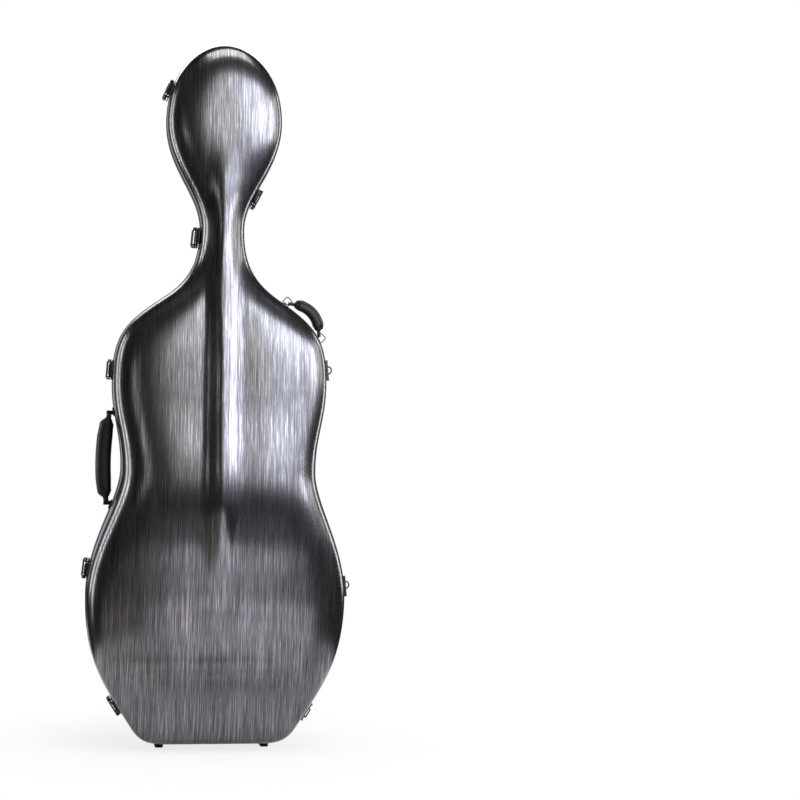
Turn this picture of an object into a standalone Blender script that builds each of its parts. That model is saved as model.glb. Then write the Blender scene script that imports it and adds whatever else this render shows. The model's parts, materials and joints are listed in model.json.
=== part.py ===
# Cello case of two moulded shells that meet at an edge trim, with a side hinge.
#
# Frame while modelling: Z is up, X is the width and Y the depth. The shells meet at Y = 0, the base
# lies at +Y (the back) and the lid at -Y (the front). All sizes are metres.

import math

import bmesh
import bpy
from mathutils import Matrix, Vector
from mathutils.bvhtree import BVHTree

# Case outline: one half, from the middle of the bottom to the top of the head
GROUND_CLEARANCE = 0.0125
BOTTOM_FLAT_HALF = 0.090
CORNER_HALF_WIDTH = 0.158
CORNER_HEIGHT = 0.045
LOWER_BOUT_HALF_WIDTH = 0.2452
LOWER_BOUT_HEIGHT = 0.291
WAIST_HALF_WIDTH = 0.183
WAIST_HEIGHT = 0.533
UPPER_BOUT_HALF_WIDTH = 0.2025
UPPER_BOUT_HEIGHT = 0.697
SHOULDER_HALF_WIDTH = 0.110
SHOULDER_HEIGHT = 0.8587
NECK_HALF_WIDTH = 0.0415
NECK_HEIGHT = 0.993
HEAD_HALF_WIDTH = 0.1095
HEAD_HEIGHT = 1.195
TOP_HEIGHT = 1.3415

# Depths of the two halves at the middle of the case
BASE_BODY_DEPTH = 0.165
BASE_NECK_DEPTH = 0.072
BASE_HEAD_DEPTH = 0.100
LID_BOTTOM_DEPTH = 0.076
LID_PANEL_DEPTH = 0.084
LID_BRIDGE_DEPTH = 0.113
LID_UPPER_DEPTH = 0.091
LID_NECK_DEPTH = 0.050
LID_HEAD_DEPTH = 0.062
RIDGE_HEIGHT = 0.011
RIDGE_HALF_WIDTH = 0.026

# Walls, lining and the trims that meet
SHELL_WALL = 0.003
TRIM_THICKNESS = 0.0047
TRIM_PROUD = 0.001
TRIM_INSET = 0.009
PARTING_GAP = 0.0003
FAR_AWAY = 1.0
LINING_OFFSET = 0.0052
LINING_THICKNESS = 0.010
LINING_SETBACK = 0.0026
GAP = 0.0003

# Hinges on the right side
HINGE_UPPER_HEIGHT = UPPER_BOUT_HEIGHT + 0.030
HINGE_LOWER_HEIGHT = LOWER_BOUT_HEIGHT + 0.020
HINGE_LENGTH = 0.040
HINGE_STANDOFF = 0.0062
HINGE_BARREL_RADIUS = 0.0040
HINGE_PIN_RADIUS = 0.0018
HINGE_LEAF_WIDTH = 0.020
HINGE_LEAF_THICKNESS = 0.0022
KNUCKLE_GAP = 0.0004

# Draw latches: five on the left side, two on the right
LATCH_HEIGHTS_LEFT = (TOP_HEIGHT - 0.0865, NECK_HEIGHT - 0.017, UPPER_BOUT_HEIGHT + 0.023,
                      LOWER_BOUT_HEIGHT + 0.050, CORNER_HEIGHT + 0.038)
LATCH_HEIGHTS_RIGHT = (NECK_HEIGHT + 0.064, CORNER_HEIGHT + 0.026)
LATCH_HALF_LENGTH = 0.019
LATCH_PLATE_START = 0.0055
LATCH_PLATE_END = 0.040
LATCH_PLATE_THICKNESS = 0.0022
LATCH_PIVOT_BACK = 0.011
LATCH_PIVOT_OUT = 0.0066
LATCH_PIVOT_RADIUS = 0.0019
LATCH_PIVOT_CLEARANCE = 0.00045
LATCH_EAR_RADIUS = 0.0042
LATCH_EAR_INNER = 0.0126
LATCH_EAR_OUTER = 0.0154
LEVER_END = 0.0440
LEVER_OUT = 0.0106
LEVER_SHEET = 0.0016
LEVER_FLANGE_LOW = 0.0036
LEVER_SLOT_HALF = 0.0160
LEVER_SLOT_END = 0.0275
BAIL_WIRE_RADIUS = 0.0014
BAIL_HALF_WIDTH = 0.0088
BAIL_PIVOT_BACK = 0.0190
BAIL_PIVOT_OUT = 0.0060
BAIL_REACH = 0.0094
KEEPER_HALF_LENGTH = 0.013
KEEPER_CREST = 0.0062
KEEPER_CLEARANCE = 0.0008
KEEPER_PLATE_END = 0.021

# Handles
CARRY_HANDLE_HEIGHT = WAIST_HEIGHT + 0.0185
CARRY_HANDLE_SPAN = 0.177
CARRY_PAD_LENGTH = 0.144
CARRY_PAD_THICKNESS = 0.027
CARRY_PAD_WIDTH = 0.032
CARRY_PAD_RISE = 0.007
CARRY_PIVOT_OUT = 0.0095
HANDLE_BACK = 0.030
HANDLE_PIN_RADIUS = 0.0018
PIN_CLEARANCE = 0.0005
STUB_LENGTH = 0.007
ANCHOR_PLATE_HALF = 0.0085
ANCHOR_LUG_LENGTH = 0.008
ANCHOR_LUG_RADIUS = 0.0052
SHOULDER_RING_UPPER_HEIGHT = SHOULDER_HEIGHT - 0.0097
SHOULDER_RING_LOWER_HEIGHT = SHOULDER_HEIGHT - 0.0757
SHOULDER_PAD_THICKNESS = 0.019
SHOULDER_PAD_WIDTH = 0.026
SHOULDER_FINGER_ROOM = 0.0166
SHOULDER_PAD_TIP = 0.0052
SHOULDER_PIVOT_OUT = 0.0066
RING_LINK_SIZE = 0.014
RING_LINK_WIRE = 0.0011

# Strap fittings on the back
HOOK_PLATE_HEIGHT = SHOULDER_HEIGHT - 0.0267
HOOK_PLATE_WIDTH = 0.056
HOOK_PLATE_LENGTH = 0.020
HOOK_RING_WIDTH = 0.031
HOOK_RING_DROP = 0.023
HOOK_RING_SPACING = 0.017
HEAD_PLATE_HEIGHT = TOP_HEIGHT - 0.0225
HEAD_PLATE_HALF_WIDTH = 0.0081
HEAD_PLATE_HALF_HEIGHT = 0.006
HEAD_RING_WIDTH = 0.026
HEAD_RING_DROP = 0.021
BOTTOM_PLATE_HALF_SPACING = 0.1465
BOTTOM_PLATE_HEIGHT = CORNER_HEIGHT + 0.0615
BOTTOM_RING_WIDTH = 0.028
BOTTOM_RING_DROP = 0.024
SMALL_PLATE_HALF_WIDTH = 0.009
SMALL_PLATE_HALF_HEIGHT = 0.0105
FITTING_THICKNESS = 0.0025
RING_WIRE_RADIUS = 0.0017
RING_CLEARANCE = 0.0006
SIDE_RING_WIDTH = 0.017
SIDE_RING_DROP = 0.015
SIDE_RING_WIRE = 0.0014
BUMPER_HEIGHT = TOP_HEIGHT - 0.0888
BUMPER_RADIUS = 0.0120
BUMPER_THICKNESS = 0.0100

# Feet and wheels
FOOT_HALF_SPACING = 0.1008
FOOT_WIDTH = 0.017
FOOT_LENGTH = 0.034
FOOT_BACK = 0.024
WHEEL_HALF_SPACING = 0.0955
WHEEL_RADIUS = 0.0250
WHEEL_WIDTH = 0.0195
WHEEL_BACK = 0.166
AXLE_RADIUS = 0.003
AXLE_CLEARANCE = 0.0004
BRACKET_WIDTH = 0.052
BRACKET_TOP_WIDTH = 0.046
BRACKET_TOP = 0.0837
BRACKET_BOTTOM = 0.0136
BRACKET_BACK = 0.1790
BRACKET_SLOT = WHEEL_WIDTH + 0.0040
BRACKET_CHAMFER = 0.007

# Inside of the case
CRADLE_HEIGHT = NECK_HEIGHT + 0.011
CRADLE_HALF_WIDTH = 0.0190
CRADLE_HALF_HEIGHT = 0.022
CRADLE_GROOVE_RADIUS = 0.0145
CRADLE_FRONT = 0.012
POCKET_X = -0.105
POCKET_HEIGHT = LOWER_BOUT_HEIGHT + 0.039
POCKET_HALF_WIDTH = 0.024
POCKET_HALF_HEIGHT = 0.060
POCKET_THICKNESS = 0.016
TURN_KNOB_HEIGHT = UPPER_BOUT_HEIGHT + 0.043
TURN_KNOB_RADIUS = 0.016
TURN_KNOB_THICKNESS = 0.007
TURN_KNOB_HUB_RADIUS = 0.0072
TURN_KNOB_HUB_LENGTH = 0.004

COLUMN_CROWDING = 2.2
SHELL_COLUMNS = 9
LINING_COLUMNS = 4
ROUND = 8


def clear_scene():
    for obj in list(bpy.data.objects):
        bpy.data.objects.remove(obj, do_unlink=True)


def make_collection(name):
    collection = bpy.data.collections.new(name)
    bpy.context.scene.collection.children.link(collection)
    return collection


clear_scene()
CASE = make_collection("cello_case")
CUTTERS = make_collection("cutters")


def material(name, colour, roughness, metallic, transmission=0.0):
    made = bpy.data.materials.get(name)
    if made:
        return made
    made = bpy.data.materials.new(name)
    made.use_nodes = True
    shader = made.node_tree.nodes["Principled BSDF"]
    shader.inputs["Base Color"].default_value = (*colour, 1.0)
    shader.inputs["Roughness"].default_value = roughness
    shader.inputs["Metallic"].default_value = metallic
    shader.inputs["Transmission Weight"].default_value = transmission
    made.diffuse_color = (*colour, 1.0)
    return made


def polycarbonate():
    return material("brushed_polycarbonate", (0.115, 0.108, 0.115), 0.28, 0.55)


def black_metal():
    return material("black_coated_steel", (0.012, 0.012, 0.013), 0.35, 0.6)


def rubber():
    return material("black_rubber", (0.014, 0.014, 0.014), 0.7, 0.0)


def leather():
    return material("black_leather", (0.016, 0.015, 0.015), 0.5, 0.0)


def plush():
    return material("dark_plush", (0.03, 0.03, 0.034), 0.95, 0.0)


def clear_urethane():
    return material("clear_urethane", (0.82, 0.84, 0.85), 0.2, 0.0, 0.6)


class Rib:
    """One station along the half outline, from the edge to the middle line at the height spine.

    It holds the base's depth there, and how full the sections of the base and of the lid are.
    """

    def __init__(self, x, z, heading, pull_in, pull_out, spine, base, fullness, lid_fullness, steps):
        self.point = Vector((x, z))
        self.heading = Vector((math.cos(math.radians(heading)), math.sin(math.radians(heading))))
        self.pull_in = pull_in
        self.pull_out = pull_out
        self.spine = spine
        self.base = base
        self.fullness = fullness
        self.lid_fullness = lid_fullness
        self.steps = steps


BOTTOM = GROUND_CLEARANCE
RIBS = (
    Rib(0, BOTTOM, 0, 0, 0.03, BOTTOM + 0.130, BASE_BODY_DEPTH - 0.006, 4.4, 4.4, 2),
    Rib(BOTTOM_FLAT_HALF, BOTTOM, 0, 0.03, 0.040, BOTTOM + 0.130, BASE_BODY_DEPTH - 0.006, 4.4, 4.4, 3),
    Rib(CORNER_HALF_WIDTH, CORNER_HEIGHT, 57, 0.028, 0.100, CORNER_HEIGHT + 0.127,
        BASE_BODY_DEPTH - 0.004, 4.4, 4.4, 5),
    Rib(LOWER_BOUT_HALF_WIDTH, LOWER_BOUT_HEIGHT, 90, 0.115, 0.100, LOWER_BOUT_HEIGHT + 0.020,
        BASE_BODY_DEPTH, 4.2, 3.8, 5),
    Rib(WAIST_HALF_WIDTH, WAIST_HEIGHT, 90, 0.062, 0.068, WAIST_HEIGHT - 0.003,
        BASE_BODY_DEPTH, 3.8, 2.9, 4),
    Rib(UPPER_BOUT_HALF_WIDTH, UPPER_BOUT_HEIGHT, 90, 0.064, 0.085, UPPER_BOUT_HEIGHT - 0.032,
        BASE_BODY_DEPTH - 0.004, 4.0, 2.9, 4),
    Rib(SHOULDER_HALF_WIDTH, SHOULDER_HEIGHT, 146, 0.092, 0.060, SHOULDER_HEIGHT - 0.0687,
        BASE_BODY_DEPTH - 0.040, 3.4, 2.7, 4),
    Rib(NECK_HALF_WIDTH, NECK_HEIGHT, 90, 0.066, 0.065, NECK_HEIGHT - 0.008, BASE_NECK_DEPTH, 3.0, 2.4, 4),
    Rib(HEAD_HALF_WIDTH, HEAD_HEIGHT, 90, 0.088, 0.095, HEAD_HEIGHT - 0.010, BASE_HEAD_DEPTH, 2.8, 2.4, 5),
    Rib(0, TOP_HEIGHT, 180, 0.050, 0, TOP_HEIGHT - 0.1365, BASE_HEAD_DEPTH, 2.8, 2.4, 0),
)

# The lid's middle line: height, depth and the share of the ridge that stands on it there
LID_LINE = (
    (BOTTOM + 0.130, LID_BOTTOM_DEPTH, 0.0),
    (CORNER_HEIGHT + 0.127, LID_BOTTOM_DEPTH + 0.0015, 0.0),
    (LOWER_BOUT_HEIGHT - 0.016, LID_PANEL_DEPTH, 0.0),
    (WAIST_HEIGHT - 0.123, LID_BRIDGE_DEPTH - 0.003, 0.9),
    (WAIST_HEIGHT - 0.053, LID_BRIDGE_DEPTH, 1.0),
    (UPPER_BOUT_HEIGHT - 0.032, LID_UPPER_DEPTH, 1.0),
    (SHOULDER_HEIGHT - 0.0687, LID_UPPER_DEPTH - 0.014, 1.0),
    (NECK_HEIGHT - 0.008, LID_NECK_DEPTH, 0.9),
    (NECK_HEIGHT + 0.107, LID_HEAD_DEPTH - 0.005, 0.25),
    (HEAD_HEIGHT - 0.010, LID_HEAD_DEPTH, 0.0),
    (TOP_HEIGHT - 0.1365, LID_HEAD_DEPTH, 0.0),
)


def even_slope(before, after):
    """The slope between two rises that keeps the curve from overshooting."""
    if before * after <= 0:
        return 0.0
    return 2 * before * after / (before + after)


def smooth_value(values, index, part):
    """The value at this part of the way between two stations, on one smooth curve through all."""
    before = values[max(index - 1, 0)]
    start = values[index]
    end = values[index + 1]
    after = values[min(index + 2, len(values) - 1)]
    slope_in = even_slope(start - before, end - start)
    slope_out = even_slope(end - start, after - end)
    cube = part ** 3
    square = part ** 2
    return ((2 * cube - 3 * square + 1) * start + (cube - 2 * square + part) * slope_in
            + (3 * square - 2 * cube) * end + (cube - square) * slope_out)


def along_ribs(field, t):
    """A rib value at t, which counts ribs."""
    index = min(int(t), len(RIBS) - 2)
    return smooth_value([getattr(rib, field) for rib in RIBS], index, t - index)


def along_lid(column, height):
    """The lid's depth (column 1) or its share of the ridge (column 2) at this height of the middle line."""
    index = 0
    while index < len(LID_LINE) - 2 and LID_LINE[index + 1][0] <= height:
        index += 1
    low = LID_LINE[index][0]
    high = LID_LINE[index + 1][0]
    return smooth_value([station[column] for station in LID_LINE], index, (height - low) / (high - low))


def outline_point(t):
    """A point (x, z) of the right half of the outline."""
    index = min(int(t), len(RIBS) - 2)
    part = t - index
    first = RIBS[index]
    second = RIBS[index + 1]
    near = first.point + first.heading * first.pull_out
    far = second.point - second.heading * second.pull_in
    rest = 1 - part
    return (first.point * rest ** 3 + near * 3 * rest ** 2 * part
            + far * 3 * rest * part ** 2 + second.point * part ** 3)


def outline_steps():
    steps = []
    for index, rib in enumerate(RIBS):
        steps += [index + step / rib.steps for step in range(rib.steps)]
    return steps + [len(RIBS) - 1.0]


def shell_point(t, share, side, setback=0.0):
    """A point of a shell: share 0 is at the edge and 1 at the middle. Side 1 is the base, -1 the lid.

    A lining is set back from the edge, and it doesn't follow the lid's ridge.
    """
    rim = outline_point(t)
    spine = along_ribs("spine", t)
    x, z = rim.lerp(Vector((0, spine)), share)
    fullness = along_ribs("fullness" if side > 0 else "lid_fullness", t)
    swell = (1 - (1 - share) ** fullness) ** (1 / fullness)
    edge = PARTING_GAP / 2 + TRIM_THICKNESS + GAP + setback
    depth = along_ribs("base", t) if side > 0 else along_lid(1, spine)
    y = edge + (depth - edge) * swell
    if side < 0 and setback == 0:
        y += RIDGE_HEIGHT * along_lid(2, spine) * swell ** 2 * math.exp(-(x / RIDGE_HALF_WIDTH) ** 2)
    return Vector((x, side * y, z))


def finish_object(name, data, finish, collection=CASE):
    obj = bpy.data.objects.new(name, data)
    collection.objects.link(obj)
    if finish:
        data.materials.append(finish)
    return obj


def shade_round(mesh, angle=35):
    mesh.shade_smooth()
    mesh.set_sharp_from_angle(angle=math.radians(angle))


def half_surface(side, columns, setback=0.0):
    """One half of a shell's outer surface, open at the middle, with its normals pointing out."""
    bm = bmesh.new()
    rows = []
    for t in outline_steps():
        shares = [(column / columns) ** COLUMN_CROWDING for column in range(columns + 1)]
        rows.append([bm.verts.new(shell_point(t, share, side, setback)) for share in shares])
    for lower, upper in zip(rows, rows[1:]):
        for column in range(columns):
            corners = [lower[column], lower[column + 1], upper[column + 1], upper[column]]
            if side < 0:
                corners.reverse()
            bm.faces.new(corners)
    bmesh.ops.remove_doubles(bm, verts=bm.verts, dist=0.00002)
    bm.normal_update()
    if sum(face.normal.y * face.calc_area() for face in bm.faces) * side < 0:
        bmesh.ops.reverse_faces(bm, faces=bm.faces)
    return bm


def mirrored(obj):
    mirror = obj.modifiers.new("both_sides", "MIRROR")
    mirror.use_axis = (True, False, False)
    mirror.merge_threshold = 0.00005
    return mirror


def moulded_shell(name, side):
    mesh = bpy.data.meshes.new(name)
    bm = half_surface(side, SHELL_COLUMNS)
    bm.to_mesh(mesh)
    bm.free()
    obj = finish_object(name, mesh, polycarbonate())
    mirrored(obj)
    wall = obj.modifiers.new("wall", "SOLIDIFY")
    wall.thickness = SHELL_WALL
    wall.offset = -1
    shade_round(mesh, 60)
    return obj


def lining(name, side):
    mesh = bpy.data.meshes.new(name)
    bm = half_surface(side, LINING_COLUMNS, LINING_SETBACK)
    bm.to_mesh(mesh)
    bm.free()
    obj = finish_object(name, mesh, plush())
    mirrored(obj)
    inset = obj.modifiers.new("inside_the_shell", "DISPLACE")
    inset.strength = -LINING_OFFSET
    inset.mid_level = 0
    pad = obj.modifiers.new("padding", "SOLIDIFY")
    pad.thickness = LINING_THICKNESS
    pad.offset = -1
    shade_round(mesh, 60)
    return obj


def outline_loop(offset):
    """The whole outline as a closed loop of (x, z), moved outwards by offset."""
    right = [outline_point(t) for t in outline_steps()]
    left = [Vector((-point.x, point.y)) for point in reversed(right[1:-1])]
    loop = right + left
    moved = []
    for index, point in enumerate(loop):
        before = point - loop[index - 1]
        after = loop[(index + 1) % len(loop)] - point
        direction = (before.normalized() + after.normalized()).normalized()
        normal = Vector((direction.y, -direction.x))
        stretch = max(direction.dot(after.normalized()), 0.5)
        moved.append(point + normal * offset / stretch)
    return moved


def add_spline(curve, points, closed):
    spline = curve.splines.new("POLY")
    spline.points.add(len(points) - 1)
    for slot, point in zip(spline.points, points):
        slot.co = (*point, 1) if len(point) == 3 else (point[0], point[1], 0, 1)
    spline.use_cyclic_u = closed
    return spline


def solid_from_curve(name, obj, finish, collection=CASE):
    """Turns a curve object into a mesh object whose caps are welded."""
    bpy.context.view_layer.update()
    graph = bpy.context.evaluated_depsgraph_get()
    mesh = bpy.data.meshes.new_from_object(obj.evaluated_get(graph))
    mesh.name = name
    bm = bmesh.new()
    bm.from_mesh(mesh)
    bmesh.ops.remove_doubles(bm, verts=bm.verts, dist=0.00001)
    bmesh.ops.recalc_face_normals(bm, faces=bm.faces)
    bm.to_mesh(mesh)
    bm.free()
    place = obj.matrix_world.copy()
    bpy.data.objects.remove(obj, do_unlink=True)
    mesh.materials.clear()
    made = finish_object(name, mesh, finish, collection)
    made.matrix_world = place
    return made


def flat_solid(name, loops, thickness, finish, collection=CASE):
    """A flat outline in local X and Y, with any holes, thickened both ways along Z."""
    curve = bpy.data.curves.new(name, "CURVE")
    curve.dimensions = "2D"
    curve.fill_mode = "BOTH"
    curve.extrude = thickness / 2
    for loop in loops:
        add_spline(curve, loop, True)
    obj = bpy.data.objects.new(name + "_outline", curve)
    collection.objects.link(obj)
    return solid_from_curve(name, obj, finish, collection)


def wire_solid(name, points, radius, closed, finish, resolution=1, collection=CASE):
    curve = bpy.data.curves.new(name, "CURVE")
    curve.dimensions = "3D"
    curve.bevel_depth = radius
    curve.bevel_resolution = resolution
    curve.use_fill_caps = not closed
    add_spline(curve, points, closed)
    obj = bpy.data.objects.new(name + "_wire", curve)
    collection.objects.link(obj)
    return solid_from_curve(name, obj, finish, collection)


def box_solid(name, low, high, finish=None, collection=CASE):
    bm = bmesh.new()
    bmesh.ops.create_cube(bm, size=1)
    low = Vector(low)
    high = Vector(high)
    bmesh.ops.scale(bm, vec=high - low, verts=bm.verts)
    bmesh.ops.translate(bm, vec=(low + high) / 2, verts=bm.verts)
    mesh = bpy.data.meshes.new(name)
    bm.to_mesh(mesh)
    bm.free()
    return finish_object(name, mesh, finish, collection)


def rod_solid(name, start, end, radius, finish=None, collection=CASE, sides=ROUND):
    start = Vector(start)
    end = Vector(end)
    bm = bmesh.new()
    bmesh.ops.create_cone(bm, cap_ends=True, segments=sides, radius1=radius, radius2=radius,
                          depth=(end - start).length)
    turn = Vector((0, 0, 1)).rotation_difference(end - start).to_matrix().to_4x4()
    bmesh.ops.transform(bm, matrix=Matrix.Translation((start + end) / 2) @ turn, verts=bm.verts)
    mesh = bpy.data.meshes.new(name)
    bm.to_mesh(mesh)
    bm.free()
    shade_round(mesh)
    return finish_object(name, mesh, finish, collection)


def one_mesh(name, pieces):
    """Several separate solids as one mesh object, to be joined to a piece in one step."""
    bm = bmesh.new()
    for piece in pieces:
        copy = piece.data.copy()
        copy.transform(piece.matrix_world)
        bm.from_mesh(copy)
        bpy.data.meshes.remove(copy)
        bpy.data.objects.remove(piece, do_unlink=True)
    mesh = bpy.data.meshes.new(name)
    bm.to_mesh(mesh)
    bm.free()
    return finish_object(name, mesh, None, CUTTERS)


def combine(obj, others, operation, solver="EXACT"):
    """Joins other solids to this one, or cuts them from it, and keeps the result as its mesh."""
    for other in others:
        other.hide_render = True
        other.display_type = "WIRE"
        step = obj.modifiers.new(operation.lower(), "BOOLEAN")
        step.operation = operation
        step.object = other
        step.solver = solver
    bpy.context.view_layer.update()
    graph = bpy.context.evaluated_depsgraph_get()
    mesh = bpy.data.meshes.new_from_object(obj.evaluated_get(graph))
    obj.modifiers.clear()
    obj.data = mesh
    for other in others:
        bpy.data.objects.remove(other, do_unlink=True)
    shade_round(mesh)
    return obj


def bevel_edges(obj, width, segments=1):
    edge = obj.modifiers.new("rounded_edges", "BEVEL")
    edge.width = width
    edge.segments = segments
    edge.limit_method = "ANGLE"
    edge.angle_limit = math.radians(40)
    return edge


def copy_of(obj, name, place):
    made = bpy.data.objects.new(name, obj.data)
    CASE.objects.link(made)
    for modifier in obj.modifiers:
        if modifier.type == "BEVEL":
            bevel_edges(made, modifier.width, modifier.segments)
    made.matrix_world = place
    return made


def surface_tree(obj):
    """A tree of the object's finished faces in world space, for seating pieces on it."""
    bpy.context.view_layer.update()
    graph = bpy.context.evaluated_depsgraph_get()
    bm = bmesh.new()
    bm.from_object(obj, graph)
    bm.transform(obj.matrix_world)
    tree = BVHTree.FromBMesh(bm)
    bm.free()
    return tree


def frame_matrix(origin, out, across):
    """A place whose local X points out of the surface and local Z runs across it."""
    out = out.normalized()
    across = (across - out * across.dot(out)).normalized()
    back = across.cross(out)
    turn = Matrix((out, back, across)).transposed()
    return Matrix.Translation(origin) @ turn.to_4x4()


def seated(tree, frame, low, high, divisions=6):
    """Moves a frame along its local X until its Y-Z footprint clears the surface by the gap."""
    out = frame.to_3x3() @ Vector((1, 0, 0))
    highest = -1.0
    for row in range(divisions + 1):
        for column in range(divisions + 1):
            y = low[0] + (high[0] - low[0]) * row / divisions
            z = low[1] + (high[1] - low[1]) * column / divisions
            start = frame @ Vector((0.05, y, z))
            hit = tree.ray_cast(start, -out, 0.12)[0]
            if hit is not None:
                highest = max(highest, 0.05 - (hit - start).length)
    if highest < -0.5:
        raise ValueError("nothing to seat this piece on")
    return frame @ Matrix.Translation((highest + GAP, 0, 0))


def rim_frame(height, side):
    """The place on the case's edge at this height: local X out, Y to the back, Z along the edge."""
    points = [outline_point(t) for t in outline_steps()]
    for lower, upper in zip(points, points[1:]):
        if lower.y < height <= upper.y:
            share = (height - lower.y) / (upper.y - lower.y)
            x = lower.x + (upper.x - lower.x) * share
            run = upper - lower
            out = Vector((side * run.y, 0, -run.x))
            return frame_matrix(Vector((side * x, 0, height)), out, out.cross(Vector((0, 1, 0))))
    raise ValueError("no edge at this height")


def back_frame(tree, x, height):
    """The place on the back of the base at this height: local X out, Z up."""
    hit, normal = tree.ray_cast(Vector((x, FAR_AWAY, height)), Vector((0, -1, 0)))[:2]
    if x == 0:
        normal.x = 0
    return frame_matrix(hit, normal, Vector((0, 0, 1)))


def edge_trim(name, side):
    loops = [outline_loop(TRIM_PROUD), outline_loop(-TRIM_INSET)]
    obj = flat_solid(name, loops, TRIM_THICKNESS, rubber())
    middle = side * (PARTING_GAP + TRIM_THICKNESS) / 2
    obj.matrix_world = Matrix.Translation((0, middle, 0)) @ Matrix.Rotation(math.pi / 2, 4, "X")
    return obj


def profile_along_z(name, outline, half_length, finish=None, collection=CASE):
    return flat_solid(name, [outline], half_length * 2, finish, collection)


def keeper(name, place, depth_below):
    """Catch on the lid: a plate with an upstanding crest, rooted in the edge trim."""
    seam = PARTING_GAP / 2 + 0.0008
    shell_edge = -(PARTING_GAP / 2 + TRIM_THICKNESS)
    thickness = LATCH_PLATE_THICKNESS
    outline = (
        (-depth_below, -seam),
        (-depth_below, shell_edge + 0.0006),
        (0, shell_edge + 0.0006),
        (0, -KEEPER_PLATE_END),
        (thickness, -KEEPER_PLATE_END),
        (thickness, -BAIL_REACH + 0.0006),
        (KEEPER_CREST, -BAIL_REACH + 0.0022),
        (KEEPER_CREST, -BAIL_REACH + 0.0040),
        (thickness, shell_edge + 0.0006),
        (thickness, -seam),
    )
    obj = profile_along_z(name, outline, KEEPER_HALF_LENGTH, None, CUTTERS)
    obj.matrix_world = place
    return obj


def latch_plate():
    """Base plate of a latch with two ears that carry the lever."""
    half = LATCH_HALF_LENGTH
    plate = box_solid("latch_plate", (0, LATCH_PLATE_START, -half),
                      (LATCH_PLATE_THICKNESS, LATCH_PLATE_END, half), black_metal())
    extras = []
    holes = []
    for sign in (-1, 1):
        inner = sign * LATCH_EAR_INNER
        outer = sign * LATCH_EAR_OUTER
        low, high = sorted((inner, outer))
        web_half = LATCH_EAR_RADIUS * 0.98
        extras.append(rod_solid("ear", (LATCH_PIVOT_OUT, LATCH_PIVOT_BACK, low),
                                (LATCH_PIVOT_OUT, LATCH_PIVOT_BACK, high), LATCH_EAR_RADIUS))
        web_low = (LATCH_PLATE_THICKNESS / 2, LATCH_PIVOT_BACK - web_half, low + 0.00003)
        web_high = (LATCH_PIVOT_OUT, LATCH_PIVOT_BACK + web_half, high - 0.00003)
        extras.append(box_solid("ear_web", web_low, web_high))
        holes.append(rod_solid("ear_hole", (LATCH_PIVOT_OUT, LATCH_PIVOT_BACK, low - 0.002),
                               (LATCH_PIVOT_OUT, LATCH_PIVOT_BACK, high + 0.002),
                               LATCH_PIVOT_RADIUS + LATCH_PIVOT_CLEARANCE, sides=ROUND))
    combine(plate, extras, "UNION")
    return combine(plate, holes, "DIFFERENCE")


def latch_lever():
    """Lever of a latch: a slotted channel with a finger lip, stub pins and holes for the bail."""
    half = LATCH_HALF_LENGTH
    wall = LEVER_SHEET
    front = LATCH_PIVOT_BACK - 0.0024
    section = ((LEVER_FLANGE_LOW, -half), (LEVER_OUT, -half), (LEVER_OUT, half),
               (LEVER_FLANGE_LOW, half),
               (LEVER_FLANGE_LOW, half - wall), (LEVER_OUT - wall, half - wall),
               (LEVER_OUT - wall, -half + wall), (LEVER_FLANGE_LOW, -half + wall))
    channel = flat_solid("latch_lever", [section], LEVER_END - 0.004 - front, black_metal())
    middle = (LEVER_END - 0.004 + front) / 2
    turn = Matrix(((1, 0, 0), (0, 0, -1), (0, 1, 0))).to_4x4()
    channel.data.transform(Matrix.Translation((0, middle, 0)) @ turn)
    lip_outline = ((LEVER_OUT - wall, LEVER_END - 0.0050), (LEVER_OUT, LEVER_END - 0.0055),
                   (LEVER_OUT + 0.0016, LEVER_END - 0.0008), (LEVER_OUT + 0.0010, LEVER_END),
                   (LEVER_OUT - 0.0002, LEVER_END - 0.0012))
    lip = profile_along_z("lip", lip_outline, half * 0.82)
    extras = [lip]
    for sign in (-1, 1):
        root = sign * (half - wall / 2)
        tip = sign * (LATCH_EAR_INNER + 0.0003)
        extras.append(rod_solid("stub", (LATCH_PIVOT_OUT, LATCH_PIVOT_BACK, root),
                                (LATCH_PIVOT_OUT, LATCH_PIVOT_BACK, tip), LATCH_PIVOT_RADIUS))
    combine(channel, extras, "UNION")
    slot = box_solid("slot", (LEVER_OUT - 0.004, front - 0.002, -LEVER_SLOT_HALF),
                     (LEVER_OUT + 0.004, LEVER_SLOT_END, LEVER_SLOT_HALF))
    bore = rod_solid("bail_bore", (BAIL_PIVOT_OUT, BAIL_PIVOT_BACK, -half - 0.002),
                     (BAIL_PIVOT_OUT, BAIL_PIVOT_BACK, half + 0.002),
                     BAIL_WIRE_RADIUS + LATCH_PIVOT_CLEARANCE)
    combine(channel, [slot, bore], "DIFFERENCE")
    channel.data.transform(Matrix.Translation((-LATCH_PIVOT_OUT, -LATCH_PIVOT_BACK, 0)))
    return channel


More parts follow.
